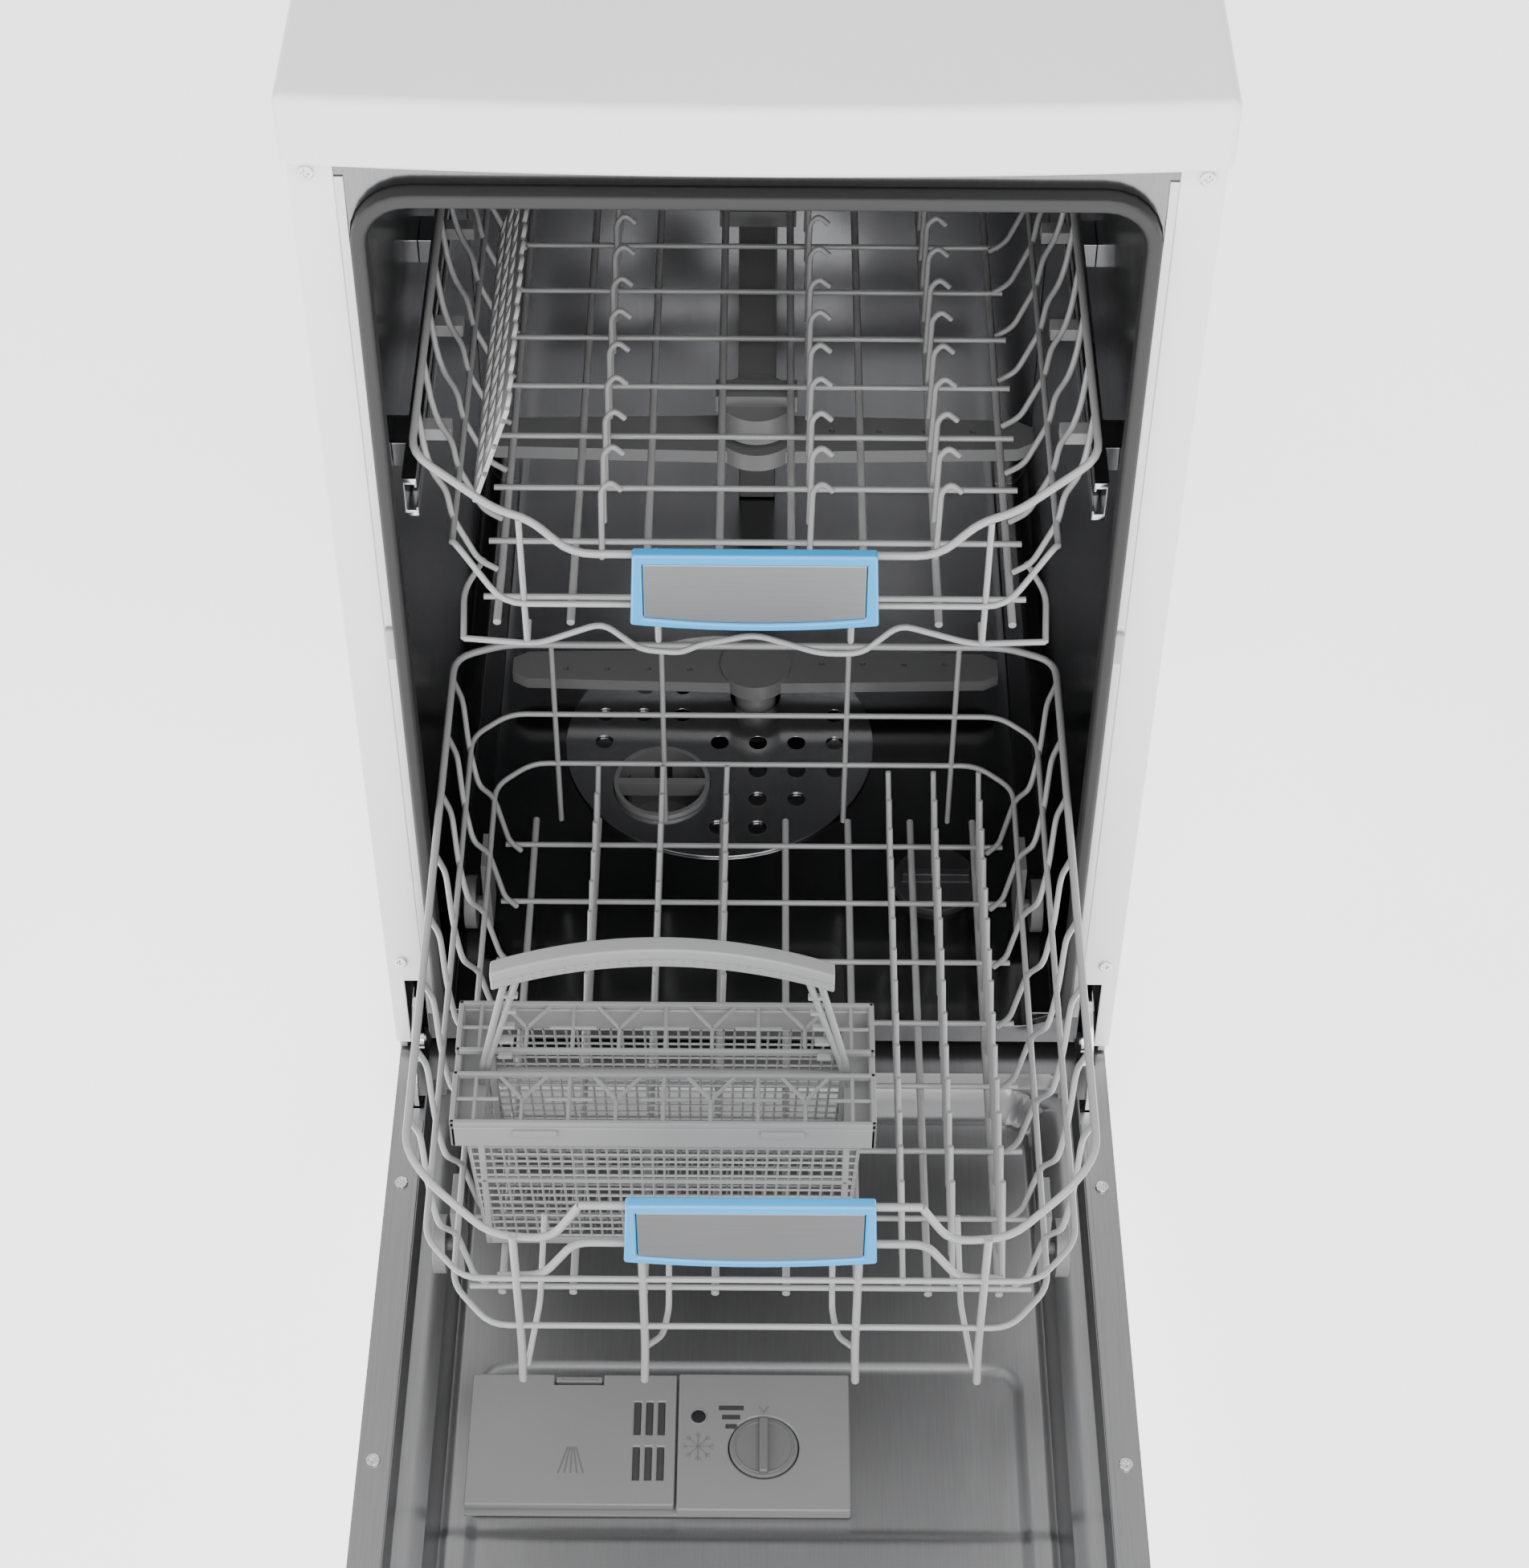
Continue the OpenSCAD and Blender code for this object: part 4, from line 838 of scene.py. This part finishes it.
def make_basket_handle():
    """Arched grip: a smooth upper band over a dotted lower band, on two slotted slanting posts."""
    low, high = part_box("basket_handle")
    mid_x = (low.x + high.x) / 2
    mid_y = (low.y + high.y) / 2
    span, arch = 0.092, 0.0208
    crown = high.z
    parts = []
    for y0, y1, lift, deep in ((low.y, high.y, 0, 0.008), (low.y + 0.0012, high.y - 0.0012, -0.0075, 0.008)):
        bpy.ops.mesh.primitive_grid_add(x_subdivisions=32, y_subdivisions=1, size=1)
        band = bpy.context.object
        for v in band.data.vertices:
            s = v.co.x * 2
            v.co = (mid_x + span * s, y0 + (y1 - y0) * (v.co.y + 0.5), crown + lift - arch * s * s)
        only(band)
        bpy.ops.object.mode_set(mode="EDIT")
        bpy.ops.mesh.select_all(action="SELECT")
        bpy.ops.mesh.extrude_region_move(TRANSFORM_OT_translate={"value": (0, 0, -deep)})
        bpy.ops.mesh.select_all(action="SELECT")
        bpy.ops.mesh.normals_make_consistent(inside=False)
        bpy.ops.object.mode_set(mode="OBJECT")
        parts.append(bevelled(band, 0.0014, 3, 50))
    for s in (-1, 1):
        for dx in (0, 0.010):
            post = [(mid_x + s * (span - 0.008 - dx * 0.6), mid_y, crown - 0.030),
                    (mid_x + s * (0.1005 - dx * 0.25), mid_y, crown - 0.105),
                    (mid_x + s * (0.1035 - dx * 0.2), mid_y, low.z + 0.004)]
            parts.append(wires("post", [(post, 0.0042, 0.01)], 2))
        for k in range(5):
            z = crown - 0.045 - 0.013 * k
            xa = mid_x + s * (span - 0.014 + 0.0014 * k)
            xa, xb = sorted((xa, xa + s * 0.008))
            parts.append(block("rung", (xa, low.y + 0.003, z), (xb, high.y - 0.003, z + 0.0025), 0.0006))
    for i in range(-14, 15):
        for j in (0, 1):
            s = i / 16
            place = (mid_x + span * s, low.y + 0.0012, crown - arch * s * s - 0.0100 - 0.0028 * j)
            bpy.ops.mesh.primitive_uv_sphere_add(segments=8, ring_count=5, radius=0.0008, location=place)
            bpy.ops.object.transform_apply(location=True)
            parts.append(bpy.context.object)
    dress(joined("basket_handle_shell", parts), "pale_plastic", "lower_rack", "pale_plastic", "basket_handle")


# ---------------------------------------------------------------- upper rack

def make_upper_rack():
    low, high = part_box("upper_rack_walls")
    floor_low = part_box("upper_rack_floor")[0]
    rail_low, rail_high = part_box("upper_rails")
    thick, thin = RIM_WIRE, FINE_WIRE
    rim = high.z - thick / 2
    half = 0.178
    lip = low.y + thick / 2
    base = floor_low.z + thick / 2
    front = floor_low.y + 0.001
    back = high.y - thick / 2
    dip_z, low_z = rim - 0.050, rim - 0.088
    runs = []
    right = [(0.0, lip, dip_z), (0.096, lip, dip_z), (0.117, lip + 0.002, dip_z + 0.022),
             (0.136, lip + 0.006, dip_z + 0.026), (half, front + 0.006, rim), (half, back - 0.010, rim),
             (half - 0.026, back, rim), (0, back, rim)]
    second = [(0.0, lip + 0.002, low_z), (0.134, lip + 0.002, low_z), (0.1605, front + 0.004, low_z + 0.030),
              (0.163, front + 0.020, low_z + 0.012),
              (0.163, back - 0.018, low_z + 0.012), (0.145, back, low_z + 0.012), (0, back, low_z + 0.012)]
    for line, d in ((right, thick), (second, thin)):
        runs += [(line, d, 0.012), (mirrored(line), d, 0.012)]
    # S-bent stakes between rim and second wire
    count = 9
    for i in range(count):
        y = front + 0.042 + (back - front - 0.07) * i / (count - 1)
        stake = [(half, y, rim), (half - 0.004, y - 0.012, rim - 0.02), (half - 0.007, y - 0.012, rim - 0.034),
                 (0.166, y, low_z + 0.03), (0.1645, y, low_z + 0.012), (0.152, y, base + 0.010),
                 (0.142, y, base + 0.003)]
        runs += [(stake, thin, BEND), (mirrored(stake), thin, BEND)]
    # posts that join rim, second wire and floor at the front
    for x, top in ((0.052, dip_z + 0.001), (0.123, dip_z + 0.022)):
        post = [(x, lip + 0.002, top), (x, lip + 0.004, low_z), (x, lip + 0.006, base - 0.004),
                (x, lip + 0.02, base)]
        rear = [(x, back, base), (x, back, rim)]
        runs += [(post, thin, 0.006), (mirrored(post), thin, 0.006), (rear, thin, 0), (mirrored(rear), thin, 0)]
    # wavy wire below the front
    bends = ((-0.158, 0.012, -0.006), (-0.118, 0.010, -0.008), (-0.082, 0.008, 0.010),
             (-0.062, 0.008, -0.010), (-0.040, 0.008, -0.012), (-0.030, 0.008, -0.006),
             (0, 0.006, 0.004), (0.036, 0.008, -0.012), (0.058, 0.008, -0.012),
             (0.078, 0.008, 0.010), (0.118, 0.010, -0.006), (0.158, 0.012, -0.006))
    runs.append(([(x, lip + y, base + z) for x, y, z in bends], thin, BEND))
    for s in (-1, 1):
        runs.append(([(s * 0.158, lip + 0.012, base - 0.006), (s * 0.160, front + 0.03, base - 0.002),
                      (s * 0.150, front + 0.05, base + 0.003)], thin, BEND))
    parts = [wires("upper_rack_wall_wires", runs)]
    # sliding runners inside the rails, held by tabs
    z = (rail_low.z + rail_high.z) / 2
    for s in (-1, 1):
        x0, x1 = sorted((s * 0.1824, s * 0.1854))
        parts.append(block("runner", (x0, FRONT_Y + 0.044, z - 0.006), (x1, back - 0.012, z + 0.006), 0.0006))
        for k in range(4):
            y = front + 0.087 + 0.09 * k
            x0, x1 = sorted((s * 0.166, s * 0.183))
            parts.append(block("runner_tab", (x0, y - 0.005, z - 0.004), (x1, y + 0.005, z + 0.004), 0.0006))
    dress(joined("upper_rack_wall_wires", parts), "coated_wire", "upper_rack", "coated_wire",
          "upper_rack_walls")
    runs = []
    for i in range(8):
        x = -0.14 + FLOOR_PITCH * i
        runs.append(([(x, front + 0.003, base), (x, back, base)], thick, 0))
    for i in range(9):
        y = front + 0.020 + 0.045 * i
        runs.append(([(-0.148, y, base + thin * 0.9), (0.148, y, base + thin * 0.9)], thin, 0))
    for x in (-0.085, 0.030, 0.100):
        for i in range(11):
            y = front + 0.055 + 0.03 * i
            hook = [(x, y, base), (x + 0.001, y, base + 0.05), (x + 0.006, y, base + 0.056),
                    (x + 0.012, y, base + 0.05)]
            runs.append((hook, thin, 0.004))
    dress(wires("upper_rack_floor_wires", runs), "coated_wire", "upper_rack", "coated_wire",
          "upper_rack_floor")
    make_handle("upper_handle_frame", "upper_handle_plate", "upper_rack")
    make_cup_shelf()


def make_cup_shelf():
    """Folding shelf: a ribbed panel with a scalloped edge, leaning up against the rack's wall."""
    low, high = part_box("cup_shelf")
    pivot = Vector(JOINTS["cup_shelf_fold"]["pos_m"])
    lean = math.radians(18)
    width, length = 0.074, high.y - low.y
    parts = []

    def leaned(piece):
        for v in piece.data.vertices:
            x, z = v.co.x, v.co.z
            v.co.x = pivot.x + x * math.cos(lean) + z * math.sin(lean)
            v.co.z = pivot.z - x * math.sin(lean) + z * math.cos(lean)
        return piece

    for z in (0.001, 0.020, 0.040, 0.058):
        parts.append(leaned(block("rail", (-0.0015, low.y, z), (0.0015, high.y, z + 0.005), 0.0008)))
    count = 16
    for i in range(count + 1):
        y = low.y + (length - 0.004) * i / count
        parts.append(leaned(block("rib", (-0.0014, y, 0.002), (0.0014, y + 0.004, width - 0.006), 0.0007)))
        if i < count:
            centre = (0, y + length / count / 2 + 0.002, width - 0.009)
            parts.append(leaned(turned("scallop", centre, 0.0066, 0.0026, "X", 20, 0.0006)))
    dress(joined("cup_shelf_panel", parts), "shelf_plastic", "cup_shelf", "pale_plastic", "cup_shelf")


FINISH = add_finishes()
add_camera()
add_studio()
make_worktop()
make_panels()
make_flange_clips()
make_screws()
make_inner_works()
make_door()
make_dispenser()
make_lower_rack()
make_basket()
make_upper_rack()
